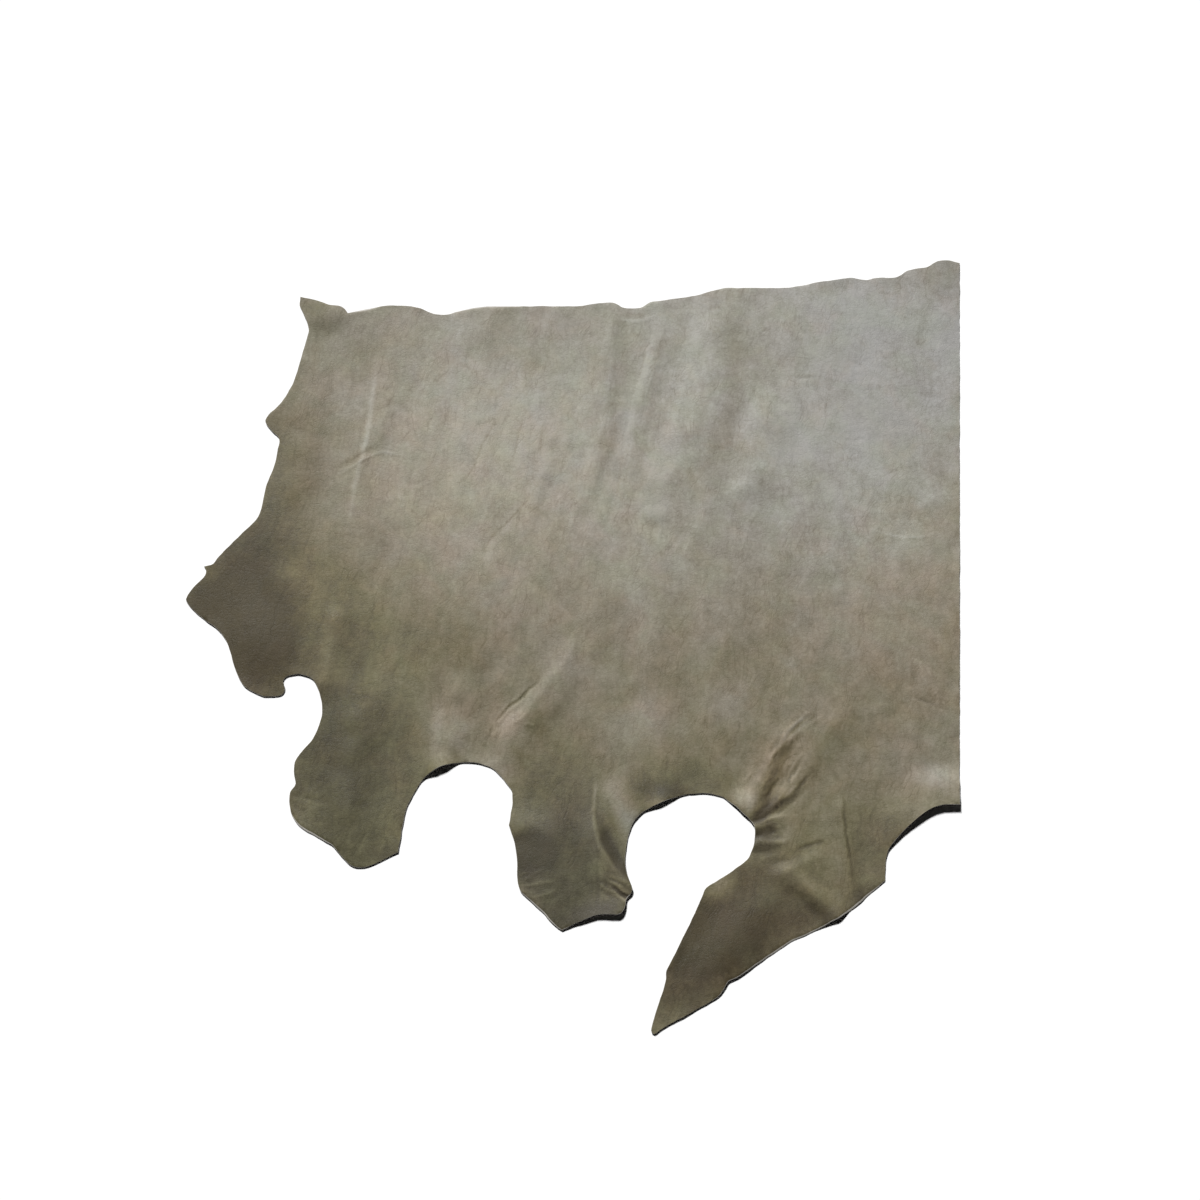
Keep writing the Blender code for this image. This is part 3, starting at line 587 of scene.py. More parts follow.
# Painted highlights and painted shade on the folds, with the scar and a few streaks.
FOLD_STROKES = (
    Stroke("bay end crest", ((226, -262), (250, -238), (268, -208), (286, -184), (304, -162)), 10, 0.12),
    Stroke("bay end hollow", ((244, -304), (256, -276), (268, -248), (280, -218), (292, -188), (304, -166)),
           14, -0.26),
    Stroke("second bay end hollow", ((248, -294), (275, -275), (300, -262), (318, -244), (332, -228)), 9,
           -0.26),
    Stroke("third bay end hollow", ((318, -243), (334, -216), (352, -184), (366, -156), (388, -132)), 12,
           -0.10),
    Stroke("bay end root", ((238, -304), (250, -292), (266, -277), (284, -263), (298, -252)), 13, -0.34),
    Stroke("third bay end pleat", ((236, -336), (262, -332), (294, -330)), 10, -0.14),
    Stroke("bay end pink", ((276, -262), (294, -236), (310, -204)), 13, 0.03),
    Stroke("fourth bay end hollow", ((246, -284), (262, -296), (284, -304)), 12, -0.2),
    Stroke("flank seam shade", ((377, -246), (380, -300), (384, -350), (388, -400)), 4, -0.18),
    Stroke("flank flap crest", ((258, -352), (278, -359), (302, -364), (326, -386), (352, -412)), 12, 0.10),
    Stroke("flank flap hollow", ((306, -400), (326, -412), (342, -427), (354, -446)), 18, -0.16),
    Stroke("flank flap shade", ((296, -342), (324, -332), (362, -325)), 7, -0.16),
    Stroke("belly flap crest", ((21, -215), (18, -255), (19, -300), (28, -335), (50, -368)), 6, 0.12),
    Stroke("belly flap hollow", ((26, -300), (38, -330), (52, -354), (68, -386)), 12, -0.36),
    Stroke("belly flap plateau", ((38, -222), (50, -262), (66, -312)), 26, 0.14),
    Stroke("belly crease pale", ((-50, -88), (-80, -118), (-112, -150), (-130, -180)), 12, 0.08),
    Stroke("shank bay pale", ((-212, -100), (-214, -150), (-216, -218)), 17, 0.18),
    Stroke("neck ridge pale", ((-320, 440), (-327, 360), (-337, 275), (-348, 215), (-358, 130)), 7, 0.18),
    Stroke("neck cross pale", ((-380, 228), (-357, 243), (-340, 255), (-325, 263), (-301, 269),
           (-262, 260)), 3.2, 0.12),
    Stroke("neck cross dark", ((-384, 238), (-362, 252), (-344, 264), (-326, 273), (-304, 280)), 9, -0.09),
    Stroke("back ridge pale", ((112, 500), (100, 430), (84, 370), (64, 300), (46, 220), (34, 130)), 15,
           0.09),
    Stroke("back left hollow", ((28, 510), (16, 430), (8, 340), (4, 260)), 22, -0.07),
    Stroke("back hollow", ((74, 500), (62, 420), (48, 350), (36, 230)), 20, -0.08),
    Stroke("second back pale", ((178, 530), (166, 420), (148, 350), (120, 280)), 26, 0.05),
    Stroke("second back hollow", ((230, 530), (236, 400), (224, 330), (200, 268), (172, 200)), 28, -0.11),
    Stroke("jaw pale", ((-389, 16), (-388, -20), (-388, -66)), 10, 0.11),
    Stroke("flank flap scar", ((171, -464), (161, -482), (153, -498)), 6, 0.14),
    Stroke("flank seam foot", ((386, -340), (391, -386), (396, -430)), 17, -0.18),
    Stroke("bay end pleat dark", ((238, -322), (256, -314), (280, -311)), 6, -0.14),
    Stroke("second bay end pleat pale", ((246, -306), (262, -299), (278, -294)), 4, 0.10),
    Stroke("nick crack", ((92, -416), (66, -405), (57, -400), (48, -394), (38, -388)), 3.6, -0.9),
    Stroke("nick lip", ((86, -420), (66, -411), (56, -406), (46, -400), (34, -393)), 4.0, 0.16),
    Stroke("bay end line", ((284, -190), (298, -170), (312, -154), (330, -142), (346, -138)), 3.2, 0.2),
    Stroke("fourth bay end line", ((296, -180), (310, -166), (326, -152), (342, -144)), 3.0, 0.14),
    Stroke("fifth bay end line", ((290, -176), (302, -160), (318, -146), (332, -134)), 3.0, 0.12),
    Stroke("sixth bay end line", ((292, -182), (306, -164), (322, -149), (344, -137)), 2.6, -0.14),
    Stroke("second bay end line", ((262, -256), (276, -246), (288, -232)), 4, 0.12),
    Stroke("third bay end line", ((284, -268), (300, -252), (312, -240)), 4, 0.14),
    Stroke("belly crease dark", ((-62, -84), (-82, -103), (-98, -118), (-113, -127), (-134, -152)), 3.2,
           -0.16),
    Stroke("belly flap wrinkle pale", ((-100, -388), (-66, -385), (-30, -378)), 2.8, 0.14),
    Stroke("second belly flap wrinkle pale", ((-92, -402), (-60, -401), (-26, -388)), 2.8, 0.14),
    Stroke("third belly flap wrinkle pale", ((-100, -374), (-72, -370), (-40, -360)), 2.8, 0.1),
    Stroke("fourth belly flap wrinkle pale", ((-72, -414), (-50, -410), (-24, -398)), 2.6, 0.1),
    Stroke("fifth belly flap wrinkle pale", ((8, -350), (10, -376), (4, -404)), 2.6, 0.08),
    Stroke("shank flap streak", ((-352, -350), (-340, -326), (-330, -296)), 3, 0.08),
    Stroke("second shank flap streak", ((-326, -352), (-318, -330), (-306, -302)), 3, 0.08),
    Stroke("third shank flap streak", ((-296, -344), (-286, -322), (-276, -292)), 3, 0.08),
    Stroke("fourth shank flap streak", ((-420, -262), (-396, -268), (-370, -280)), 3, 0.07),
)
# Painted highlights along the fine creases' crests and painted shade beside them.
CREASE_LIGHT_AND_SHADE = (
    Stroke("back ridge dark", ((126, 474), (116, 430), (106, 392), (97, 350)), 3, -0.12),
    Stroke("second back ridge dark", ((108, 474), (96, 430), (86, 392), (76, 350), (66, 300)), 3.2, -0.10),
    Stroke("third back ridge dark", ((66, 290), (58, 250), (52, 210), (46, 170)), 3, -0.08),
    Stroke("second back ridge pale", ((116, 486), (103, 440), (90, 397), (80, 360), (71, 324), (60, 260)),
           3.2, 0.12),
    Stroke("third back ridge pale", ((122, 452), (112, 412), (102, 376), (92, 340), (82, 300)), 3, 0.10),
    Stroke("fourth back ridge pale", ((84, 330), (74, 290), (66, 250), (58, 212)), 3, 0.09),
    Stroke("back nick pale", ((52, 496), (66, 491), (82, 489), (100, 492), (114, 500)), 3, 0.14),
    Stroke("back nick dark", ((60, 503), (82, 498), (102, 502)), 7, -0.12),
    Stroke("rump arc", ((430, 150), (456, 139), (484, 134), (512, 134), (540, 143)), 2.8, 0.11),
    Stroke("rump nick", ((326, 388), (345, 392), (364, 394)), 3, 0.14),
    Stroke("rump nick dark", ((328, 396), (345, 399), (362, 400)), 3, -0.10),
    Stroke("second rump nick", ((392, 290), (418, 290), (442, 294)), 3, 0.12),
    Stroke("side pale line", ((470, -112), (500, -118), (530, -126)), 3, 0.12),
)
VEIN_STROKES = tuple(Stroke(vein.name, vein.path, VEIN_STROKE_WIDTH, vein.tone) for vein in VEINS)
STROKES = FOLD_STROKES + VEIN_STROKES + CREASE_LIGHT_AND_SHADE
FINE_STROKE = 8  # a narrower stroke also has the points of the grain side close together


def run_points(start, run):
    """Points along one run of the cut edge, without its start: a chord with its middle swollen sideways."""
    here, there = np.array(start, float), np.array((run.x, run.y), float)
    along = there - here
    length = math.hypot(*along)
    outwards = np.array((-along[1], along[0])) / length
    share = np.linspace(0, 1, max(2, round(length / DRAWING_STEP) + 1))[1:, None]
    return here + share * along + 4 * run.swell * share * (1 - share) * outwards


def softened(points, sharp, passes):
    """The closed line with its turns eased, all but at its sharp points."""
    for _ in range(passes):
        eased = points / 2 + (np.roll(points, 1, axis=0) + np.roll(points, -1, axis=0)) / 4
        points = np.where(sharp[:, None], points, eased)
    return points


def spaced(points, step):
    """The open line through these points, redrawn with even steps of about this length."""
    lengths = np.hypot(*np.diff(points, axis=0).T)
    reached = np.concatenate([[0], np.cumsum(lengths)])
    wanted = np.linspace(0, reached[-1], max(2, round(reached[-1] / step) + 1))
    return np.column_stack([np.interp(wanted, reached, points[:, axis]) for axis in (0, 1)])


def cut_edge(step):
    """The cut edge as a closed line with steps of this length, its box centred on the origin."""
    points, sharp = [], []
    start = EAR_TIP
    for run in CUT_EDGE:
        more = run_points(start, run)
        points.extend(more)
        sharp.extend([False] * (len(more) - 1) + [run.sharp])
        start = (run.x, run.y)
    points, sharp = np.array(points), np.array(sharp)
    points = softened(points, sharp, round(2 * (EDGE_SOFTENING / DRAWING_STEP) ** 2))
    corners = np.flatnonzero(sharp)
    line = []
    for here, there in zip(corners, np.roll(corners, -1)):
        count = (there - here) % len(points)
        piece = points[(here + np.arange(count + 1)) % len(points)]
        line.append(spaced(piece, step)[:-1])
    line = np.concatenate(line)
    return line - (line.min(axis=0) + line.max(axis=0)) / 2


def smooth_path(path, step=5.0):
    """A curve through the points of a path, in even steps."""
    knots = np.array(path, float)
    knots = np.vstack([2 * knots[0] - knots[1], knots, 2 * knots[-1] - knots[-2]])
    share = np.linspace(0, 1, 24, endpoint=False)[:, None]
    line = []
    for before, here, there, after in zip(knots, knots[1:], knots[2:], knots[3:]):
        bend = 2 * before - 5 * here + 4 * there - after
        twist = 3 * (here - there) + after - before
        line.append(here + share * ((there - before) + share * (bend + share * twist)) / 2)
    line.append(knots[-2:-1])
    return spaced(np.vstack(line), step)


def hump(share):
    """A round hill of height one that meets the ground softly at a share of one."""
    return 0.5 + 0.5 * np.cos(np.pi * np.clip(np.abs(share), 0, 1))


def ridge(share, crest):
    """A hill of height one: round, or with a crest that is the sharper the nearer crest is to one."""
    blunted = np.sqrt(share**2 + CREST_ROUNDING**2) - CREST_ROUNDING
    pointed = (1 - np.clip(blunted, 0, 1)) ** 2
    return (1 - crest) * hump(share) + crest * pointed


def beside(path, places, reach, step=5.0):
    """For the places within reach of a path: which they are, how far off they lie, to its left or
    not, and how far along it they are, from 0 to 1."""
    line = smooth_path(path, step)
    low, high = line.min(axis=0) - reach, line.max(axis=0) + reach
    found = np.flatnonzero(((places > low) & (places < high)).all(axis=1))
    if not len(found):
        return found, np.zeros(0), np.zeros(0, bool), np.zeros(0)
    ahead = np.gradient(line, axis=0)
    apart = places[found][:, None, :] - line[None, :, :]
    nearest = (apart**2).sum(axis=2).argmin(axis=1)
    offset = apart[np.arange(len(found)), nearest]
    turn = ahead[nearest]
    turn = turn / np.hypot(*turn.T)[:, None]
    along = (turn * offset).sum(axis=1)
    inner = (nearest > 0) & (nearest < len(line) - 1)
    away = np.where(inner, np.sqrt(np.maximum((offset**2).sum(axis=1) - along**2, 0)), np.hypot(*offset.T))
    on_left = turn[:, 0] * offset[:, 1] - turn[:, 1] * offset[:, 0] > 0
    place = nearest + np.clip(along / step, -0.5, 0.5)
    return found, away, on_left, np.clip(place / (len(line) - 1), 0, 1)


def faded(reached):
    """One along most of a path, and softly down to nothing towards both of its ends."""
    return 1 - hump(np.minimum(reached, 1 - reached) / 0.3)


def fold_height(fold, places):
    """The height of one fold at these places."""
    total = np.zeros(len(places))
    found, away, on_left, reached = beside(fold.path, places, max(fold.left, fold.right))
    size = 1 + (fold.taper - 1) * reached
    width = (1 + size) / 2 * np.where(on_left, fold.left, fold.right)
    total[found] = fold.height * size * faded(reached) * ridge(away / width, fold.crest)
    return total


def crease_height(crease, places):
    """What one fine crease adds to the grain side at these places."""
    total = np.zeros(len(places))
    found, away, _, reached = beside(crease.path, places, 3 * crease.width, 2.0)
    line = crease.height * hump(away / crease.width)
    lip = crease.lip * hump((away - 1.7 * crease.width) / (1.2 * crease.width))
    total[found] = faded(reached) * (line + lip)
    return total


def patch(spot, places):
    """The share of a lift, or of a patch of stained, painted-light or painted-shade tone, at these places:
    one at its middle, nothing past its reach.
    """
    turn = math.radians(spot.turn)
    x, y = (places - (spot.x, spot.y)).T
    along = (x * math.cos(turn) + y * math.sin(turn)) / spot.reach_x
    across = (y * math.cos(turn) - x * math.sin(turn)) / spot.reach_y
    return hump(np.hypot(along, across))


def stroke_tone(stroke, places):
    """How much one stroke lightens or darkens these places."""
    total = np.zeros(len(places))
    found, away, _, reached = beside(stroke.path, places, stroke.width, 3.0)
    total[found] = stroke.tone * faded(reached) * hump(away / stroke.width)
    return total


def lined(places):
    """How strong the narrow strokes are at these places."""
    total = np.zeros(len(places))
    for stroke in STROKES:
        if stroke.width < FINE_STROKE:
            total += np.abs(stroke_tone(stroke._replace(width=2 * stroke.width), places))
    return total


def lumps_height(lumps, places, seed):
    """Soft lumps from about -1 to 1 times their height."""
    turn = math.radians(lumps.turn)
    x, y = places.T
    along = (x * math.cos(turn) + y * math.sin(turn)) / lumps.along
    across = (y * math.cos(turn) - x * math.sin(turn)) / lumps.across
    return lumps.height * np.array([noise.noise(Vector((a, b, seed))) for a, b in zip(along, across)])


def folds_height(places):
    """The height of the main folds and the broad lifts above the floor."""
    total = np.zeros(len(places))
    for fold in FOLDS:
        total += fold_height(fold, places)
    uneven = Lumps("fold unevenness", FOLD_UNEVENNESS_SIZE, FOLD_UNEVENNESS_SIZE, 0, FOLD_UNEVENNESS)
    folded = np.flatnonzero(total)
    total[folded] *= 1 + lumps_height(uneven, places[folded], FOLD_SEED)
    for lift in LIFTS:
        total += lift.height * patch(lift, places)
    return total


def edge_distance(places, edge):
    """How far each place lies from the cut edge."""
    near = KDTree(len(edge))
    for number, (x, y) in enumerate(edge):
        near.insert((x, y, 0), number)
    near.balance()
    return np.array([near.find((x, y, 0))[2] for x, y in places])


def strayed(places):
    """The places moved a little, so that what is drawn there isn't quite regular."""
    moved = np.array(places, float)
    for size, reach, depth in ((WANDER_SIZE, WANDER, WANDER_SEED), (WOBBLE_SIZE, WOBBLE, WOBBLE_SEED)):
        for axis in (0, 1):
            level = depth + axis * STRAY_APART
            moves = [noise.noise(Vector((x / size, y / size, level))) for x, y in places]
            moved[:, axis] += reach * np.array(moves)
    return moved


def fan_height(fan, places):
    """Wrinkles that fan out from a point, wider apart the further they run."""
    total = np.zeros(len(places))
    x, y = (places - (fan.x, fan.y)).T
    out = np.hypot(x, y)
    turn = np.degrees(np.arctan2(y, x)) - fan.aim
    turn = (turn + 180) % 360 - 180
    found = np.flatnonzero((np.abs(turn) < fan.spread) & (out > fan.near) & (out < fan.far))
    turn, out = turn[found], out[found]
    share = (out - fan.near) / (fan.far - fan.near)
    window = hump(turn / fan.spread) * hump(np.maximum(1 - share / 0.25, 0)) * hump(share)
    waves = [noise.noise(Vector((a, b, fan.pitch))) for a, b in zip(turn / fan.pitch, out / 60)]
    total[found] = fan.height * window * np.array(waves)
    return total


def wrinkled(patches, places, seed, cushioned=False):
    """Patches of long soft wrinkles, or of small cushions with close creases between them."""
    total = np.zeros(len(places))
    for number, wrinkles in enumerate(patches):
        share = patch(wrinkles._replace(turn=0), places)
        found = np.flatnonzero(share > 0)
        lumps = lumps_height(wrinkles, places[found], seed + number)
        if cushioned:
            lumps = np.abs(lumps) - CUSHION_SINK * wrinkles.height
        total[found] += share[found] * lumps
    return total


def height(places, walked, edge):
    """How high the flesh side stands above the floor."""
    total = folds_height(walked)
    for seed, lumps in enumerate(UNDER_LUMPS):
        total += np.maximum(lumps_height(lumps, places, UNDER_SEED + seed), 0)
    curl = Lumps("curl", CURL_SIZE, CURL_SIZE, 0, CURL_HEIGHT)
    curled = np.maximum(lumps_height(curl, places, CURL_SEED), 0)
    return total + curled * hump(edge_distance(places, edge) / CURL_REACH)


def rise(walked):
    """The vertical measure of the leather's thickness: more where the hide slopes."""
    steepness = 1
    for move in SLOPE_REACH * np.eye(2):
        slope = folds_height(walked + move) - folds_height(walked - move)
        steepness = steepness + (slope / (2 * SLOPE_REACH)) ** 2
    return THICKNESS * np.sqrt(steepness)


def creases_height(walked):
    """What the fine creases and the wrinkles add to the grain side."""
    total = wrinkled(WRINKLES, walked, WRINKLE_SEED) + wrinkled(CRINKLES, walked, CRINKLE_SEED, True)
    for crease in CREASES:
        total += crease_height(crease, walked)
    for fan in FANS:
        total += fan_height(fan, walked)
    return total


def skin_height(places):
    """What the drawn skin adds to the grain side."""
    total = np.zeros(len(places))
    for seed, lumps in enumerate(GRAIN_LUMPS):
        total += lumps_height(lumps, places, SKIN_SEED + seed)
    return total


def ragged(edge):
    """The cut edge with the small turns that the knife gave it."""
    ahead = np.roll(edge, -1, axis=0) - np.roll(edge, 1, axis=0)
    outwards = np.column_stack([ahead[:, 1], -ahead[:, 0]]) / np.hypot(*ahead.T)[:, None]
    near_box = np.abs(edge) > np.abs(edge).max(axis=0) - TRUE_CUT
    sampled = [Vector((x / KNIFE_WOBBLE_SIZE, y / KNIFE_WOBBLE_SIZE, KNIFE_SEED)) for x, y in edge]
    wobble = np.array([noise.noise(place) for place in sampled])
    wobble = np.where(near_box.any(axis=1), 0, wobble)
    return edge + KNIFE_WOBBLE * wobble[:, None] * outwards


def staggered_rows(low, high, step):
    """Points in rows, every second row moved by half a step."""
    row_step = step * math.sqrt(3) / 2
    rows = np.arange(low[1], high[1], row_step)
    found = []
    for number, y in enumerate(rows):
        x = np.arange(low[0] + step / 2 * (number % 2), high[0], step)
        found.append(np.column_stack([x, np.full(len(x), y)]))
    return np.vstack(found)


def inside(places, line):
    """Which places lie inside the closed line."""
    x, y = places.T
    found = np.zeros(len(places), bool)
    for (x1, y1), (x2, y2) in zip(line, np.roll(line, -1, axis=0)):
        if y1 == y2:
            continue
        crosses = (y1 > y) != (y2 > y)
        found ^= crosses & (x < (x2 - x1) * (y - y1) / (y2 - y1) + x1)
    return found


def skin_points(ring, wide_step, close_step, is_close):
    """Points inside a ring: wide apart, and closer where is_close says so."""
    low, high = ring.min(axis=0), ring.max(axis=0)
    close = staggered_rows(low, high, close_step)
    close = close[inside(close, ring)]
    close = close[is_close(close)]
    close = close[edge_distance(close, ring) > 0.5 * close_step]
    wide = staggered_rows(low, high, wide_step)
    wide = wide[inside(wide, ring)]
    wide = wide[edge_distance(wide, ring) > 0.5 * min(wide_step, 2 * EDGE_STEP)]
    wide = wide[edge_distance(wide, close) > 0.9 * close_step]
    return np.vstack([close, wide])


def inset(ring, depths):
    """The ring, counter-clockwise, drawn in by a small depth at each of its points."""
    ahead = np.roll(ring, -1, axis=0) - np.roll(ring, 1, axis=0)
    inwards = np.column_stack([-ahead[:, 1], ahead[:, 0]])
    return ring + depths[:, None] * inwards / np.hypot(*inwards.T)[:, None]


def plan_of(ring, points):
    """The ring and the points inside it as a flat mesh: its places, its triangles, the ring's numbers."""
    count = len(ring)
    places = [Vector(place) for place in np.vstack([ring, points])]
    edges = [(number, (number + 1) % count) for number in range(count)]
    plan = delaunay_2d_cdt(places, edges, [], 1, 1e-6)
    found = {}
    for number, made_from in enumerate(plan[3]):
        for origin in made_from:
            found[origin] = number
    return np.array([tuple(place) for place in plan[0]]), plan[2], [found[n] for n in range(count)]


def stretch(walked):
    """How sharply the leather is bent outwards, per mm: above nothing on a ridge."""
    reach = STRETCH_REACH
    total = -4 * (folds_height(walked) + creases_height(walked))
    for move in ((reach, 0), (-reach, 0), (0, reach), (0, -reach)):
        total += folds_height(walked + move) + creases_height(walked + move)
    return -total / reach**2


def creased(places):
    """Where the grain side has its points close together."""
    uneven = np.abs(creases_height(places)) + 0.02 * folds_height(places) + 4 * lined(places)
    return uneven > CREASED_FROM


def lifted(places):
    """Where the flesh side has its points close together."""
    return folds_height(places) > LIFTED_FROM


def sheet_levels(places, walked, parts, edge, slant):
    """How high each point stands above the floor, part by part."""
    grain, flesh, upper, lower = parts
    level = height(places, walked, edge)
    thick, pressed = rise(walked), creases_height(walked)
    bevelled = BEVEL_DEPTH * (slant - EDGE_ROUNDING) / WIDEST_BEVEL * THICKNESS
    level[grain] += thick[grain] + pressed[grain] + skin_height(places[grain])
    level[flesh] = np.maximum(level[flesh] + np.minimum(pressed[flesh], 0), 0)
    level[upper] += thick[upper] - EDGE_ROUNDING - bevelled
    level[lower] += EDGE_ROUNDING
    level[upper] = np.maximum(level[upper], level[lower] + LEAST_EDGE)
    return level


def rim_faces(rings):
    """The faces between each ring of points and the next."""
    faces = []
    for low, high in zip(rings, rings[1:]):
        for here in range(len(low)):
            there = (here + 1) % len(low)
            faces.append((int(low[here]), int(low[there]), int(high[there]), int(high[here])))
    return faces


def write_shades(mesh, walked):
    """Writes numbers that the grain side's material reads by name: its stains, painted light and painted
    shade, and how it is bent.
    """
    shades = {name: np.zeros(len(walked)) for name in ("tone", "ash", "moss", "rose")}
    for marking in STAINS_AND_PAINTED_LIGHT:
        share = patch(marking, walked)
        for name, values in shades.items():
            values += getattr(marking, name) * share
    for stroke in STROKES:
        shades["tone"] += stroke_tone(stroke, walked)
    shades["stretch"] = stretch(walked)
    for name, values in shades.items():
        mesh.attributes.new(name, "FLOAT", "POINT").data.foreach_set("value", values.astype(np.float32))


def hide_mesh():
    """The sheet: the grain side, the rounded cut edge and the flesh side, each with its own finish."""
    edge = ragged(cut_edge(EDGE_STEP)[::-1])
    slant = np.full(len(edge), EDGE_ROUNDING)
    for bevel in BEVELS:
        slant += bevel.width * patch(bevel, edge)
    upper_ring = inset(edge, slant)
    lower_ring = inset(edge, np.full(len(edge), EDGE_ROUNDING))
    grain_points = skin_points(upper_ring, GRAIN_STEP, CREASE_STEP, creased)
    flesh_points = skin_points(lower_ring, FLESH_STEP, FLESH_FOLD_STEP, lifted)
    grain, grain_faces, grain_ring = plan_of(upper_ring, grain_points)
    flesh, flesh_faces, flesh_ring = plan_of(lower_ring, flesh_points)
    places = np.vstack([grain, flesh, edge, edge])
    starts = np.cumsum([0, len(grain), len(flesh), len(edge), len(edge)])
    parts = [slice(here, there) for here, there in zip(starts, starts[1:])]
    walked = strayed(places)
    level = sheet_levels(places, walked, parts, edge, slant)
    flesh_faces = [tuple(int(n + starts[1]) for n in face[::-1]) for face in flesh_faces]
    rim = rim_faces((
        [n + starts[1] for n in flesh_ring],
        range(starts[3], starts[4]),
        range(starts[2], starts[3]),
        grain_ring,
    ))
    mesh = bpy.data.meshes.new("hide")
    points = np.column_stack([places, level]) * MM
    faces = list(grain_faces) + flesh_faces + rim
    mesh.from_pydata([tuple(point) for point in points], [], faces)
    for material in (grain_side(), flesh_side(), raw_edge()):
        mesh.materials.append(material)
    finish = [0] * len(grain_faces) + [1] * len(flesh_faces) + [2] * len(rim)
    mesh.polygons.foreach_set("material_index", finish)
    mesh.polygons.foreach_set("use_smooth", [True] * len(faces))
    write_shades(mesh, walked)
    mesh.validate()
    mesh.update()
    mesh.set_sharp_from_angle(angle=math.radians(SHARP_TURN))
    return mesh


# ------------------------------------------------------------------------------------------ materials

NODES_A_ROW = 8


def add(tree, kind, **settings):
    """A node of a tree, with its settings."""
    node = tree.nodes.new("ShaderNode" + kind)
    row, column = divmod(len(tree.nodes), NODES_A_ROW)
    node.location = (200 * column, -300 * row)
    for name, value in settings.items():
        setattr(node, name, value)
    return node


def put(tree, socket, source):
    """Links a source to a socket, or sets the socket to a value."""
    if isinstance(source, bpy.types.NodeSocket):
        tree.links.new(source, socket)
    else:
        socket.default_value = source


def feed(tree, node, *sources, **named):
    """Sets or links a node's inputs: the first ones in order, others by name, with _ for spaces."""
    for socket, source in zip(node.inputs, sources):
        put(tree, socket, source)
    for name, source in named.items():
        put(tree, node.inputs[name.replace("_", " ")], source)
    return node


def calculated(tree, operation, *sources, clamp=False):
    """A number worked out from one, two or three others."""
    return feed(tree, add(tree, "Math", operation=operation, use_clamp=clamp), *sources).outputs[0]


def vector_node(tree, operation, *sources, **named):
    """A place or a colour moved or scaled."""
    return feed(tree, add(tree, "VectorMath", operation=operation), *sources, **named).outputs[0]


def noise_node(tree, place, scale, detail, **named):
    """Noise at a place."""
    return feed(tree, add(tree, "TexNoise"), Vector=place, Scale=scale, Detail=detail, **named).outputs


def eased(tree, value, to, **named):
    """One number eased into another, as it goes from nothing to this much."""
    node = add(tree, "MapRange", interpolation_type="SMOOTHSTEP")
    return feed(tree, node, Value=value, From_Min=0.0, From_Max=to, **named).outputs[0]


def drifted(tree, place, scale, detail, reach):
    """A place moved a little, so that what is drawn there isn't quite regular."""
    drift = vector_node(tree, "SCALE", noise_node(tree, place, scale, detail)[1], Scale=reach)
    return vector_node(tree, "ADD", place, drift)


def shared_group(name, inputs, outputs):
    """An empty node group with these named inputs, each with its start value, and named outputs."""
    tree = bpy.data.node_groups.new(name, "ShaderNodeTree")
    for label, start in inputs.items():
        kind = "NodeSocketVector" if start is None else "NodeSocketFloat"
        socket = tree.interface.new_socket(label, in_out="INPUT", socket_type=kind)
        if start is not None:
            socket.default_value = start
    for label in outputs:
        tree.interface.new_socket(label, in_out="OUTPUT", socket_type="NodeSocketFloat")
    return tree, tree.nodes.new("NodeGroupInput").outputs, tree.nodes.new("NodeGroupOutput").inputs


def parted(tree, lumps, contrast):
    """Lumps around a half: how far each is from it, and as a mask that is parted by a contrast."""
    middle = calculated(tree, "SUBTRACT", lumps, 0.5)
    return middle, calculated(tree, "MULTIPLY_ADD", middle, contrast, 0.5, clamp=True)


def clouds_group():
    """Soft clouds: a mask with lumps of a size, more or less sharply parted."""
    inputs = {"Position": None, "Size": 0.1, "Detail": 5.0, "Contrast": 2.0}
    tree, given, out = shared_group("clouds", inputs, ["Mask"])
    scale = calculated(tree, "DIVIDE", 1.0, given["Size"])
    lumps = noise_node(tree, given["Position"], scale, given["Detail"], Roughness=0.58, Distortion=0.4)
    put(tree, out["Mask"], parted(tree, lumps[0], given["Contrast"])[1])
    return tree


def streaks_group():
    """Long soft streaks along one direction: a mask, and the fine lines that run between them."""
    inputs = {"Position": None, "Turn": 0.0, "Width": 0.02, "Length": 0.2, "Contrast": 2.0}
    tree, given, out = shared_group("streaks", inputs, ["Mask", "Lines"])
    moved = drifted(tree, given["Position"], 14.0, 3.0, 0.05)
    turner = add(tree, "VectorRotate", rotation_type="Z_AXIS")
    turned = feed(tree, turner, Vector=moved, Angle=given["Turn"]).outputs[0]
    parts = feed(tree, add(tree, "SeparateXYZ"), turned).outputs
    along = calculated(tree, "DIVIDE", parts[0], given["Length"])
    across = calculated(tree, "DIVIDE", parts[1], given["Width"])
    joined = feed(tree, add(tree, "CombineXYZ"), along, across).outputs[0]
    lumps = noise_node(tree, joined, 1.0, 3.0, Roughness=0.55, Distortion=0.6)
    middle, mask = parted(tree, lumps[0], given["Contrast"])
    put(tree, out["Mask"], mask)
    crossing = calculated(tree, "ABSOLUTE", middle)
    put(tree, out["Lines"], eased(tree, crossing, 0.022, To_Min=1.0, To_Max=0.0))
    return tree


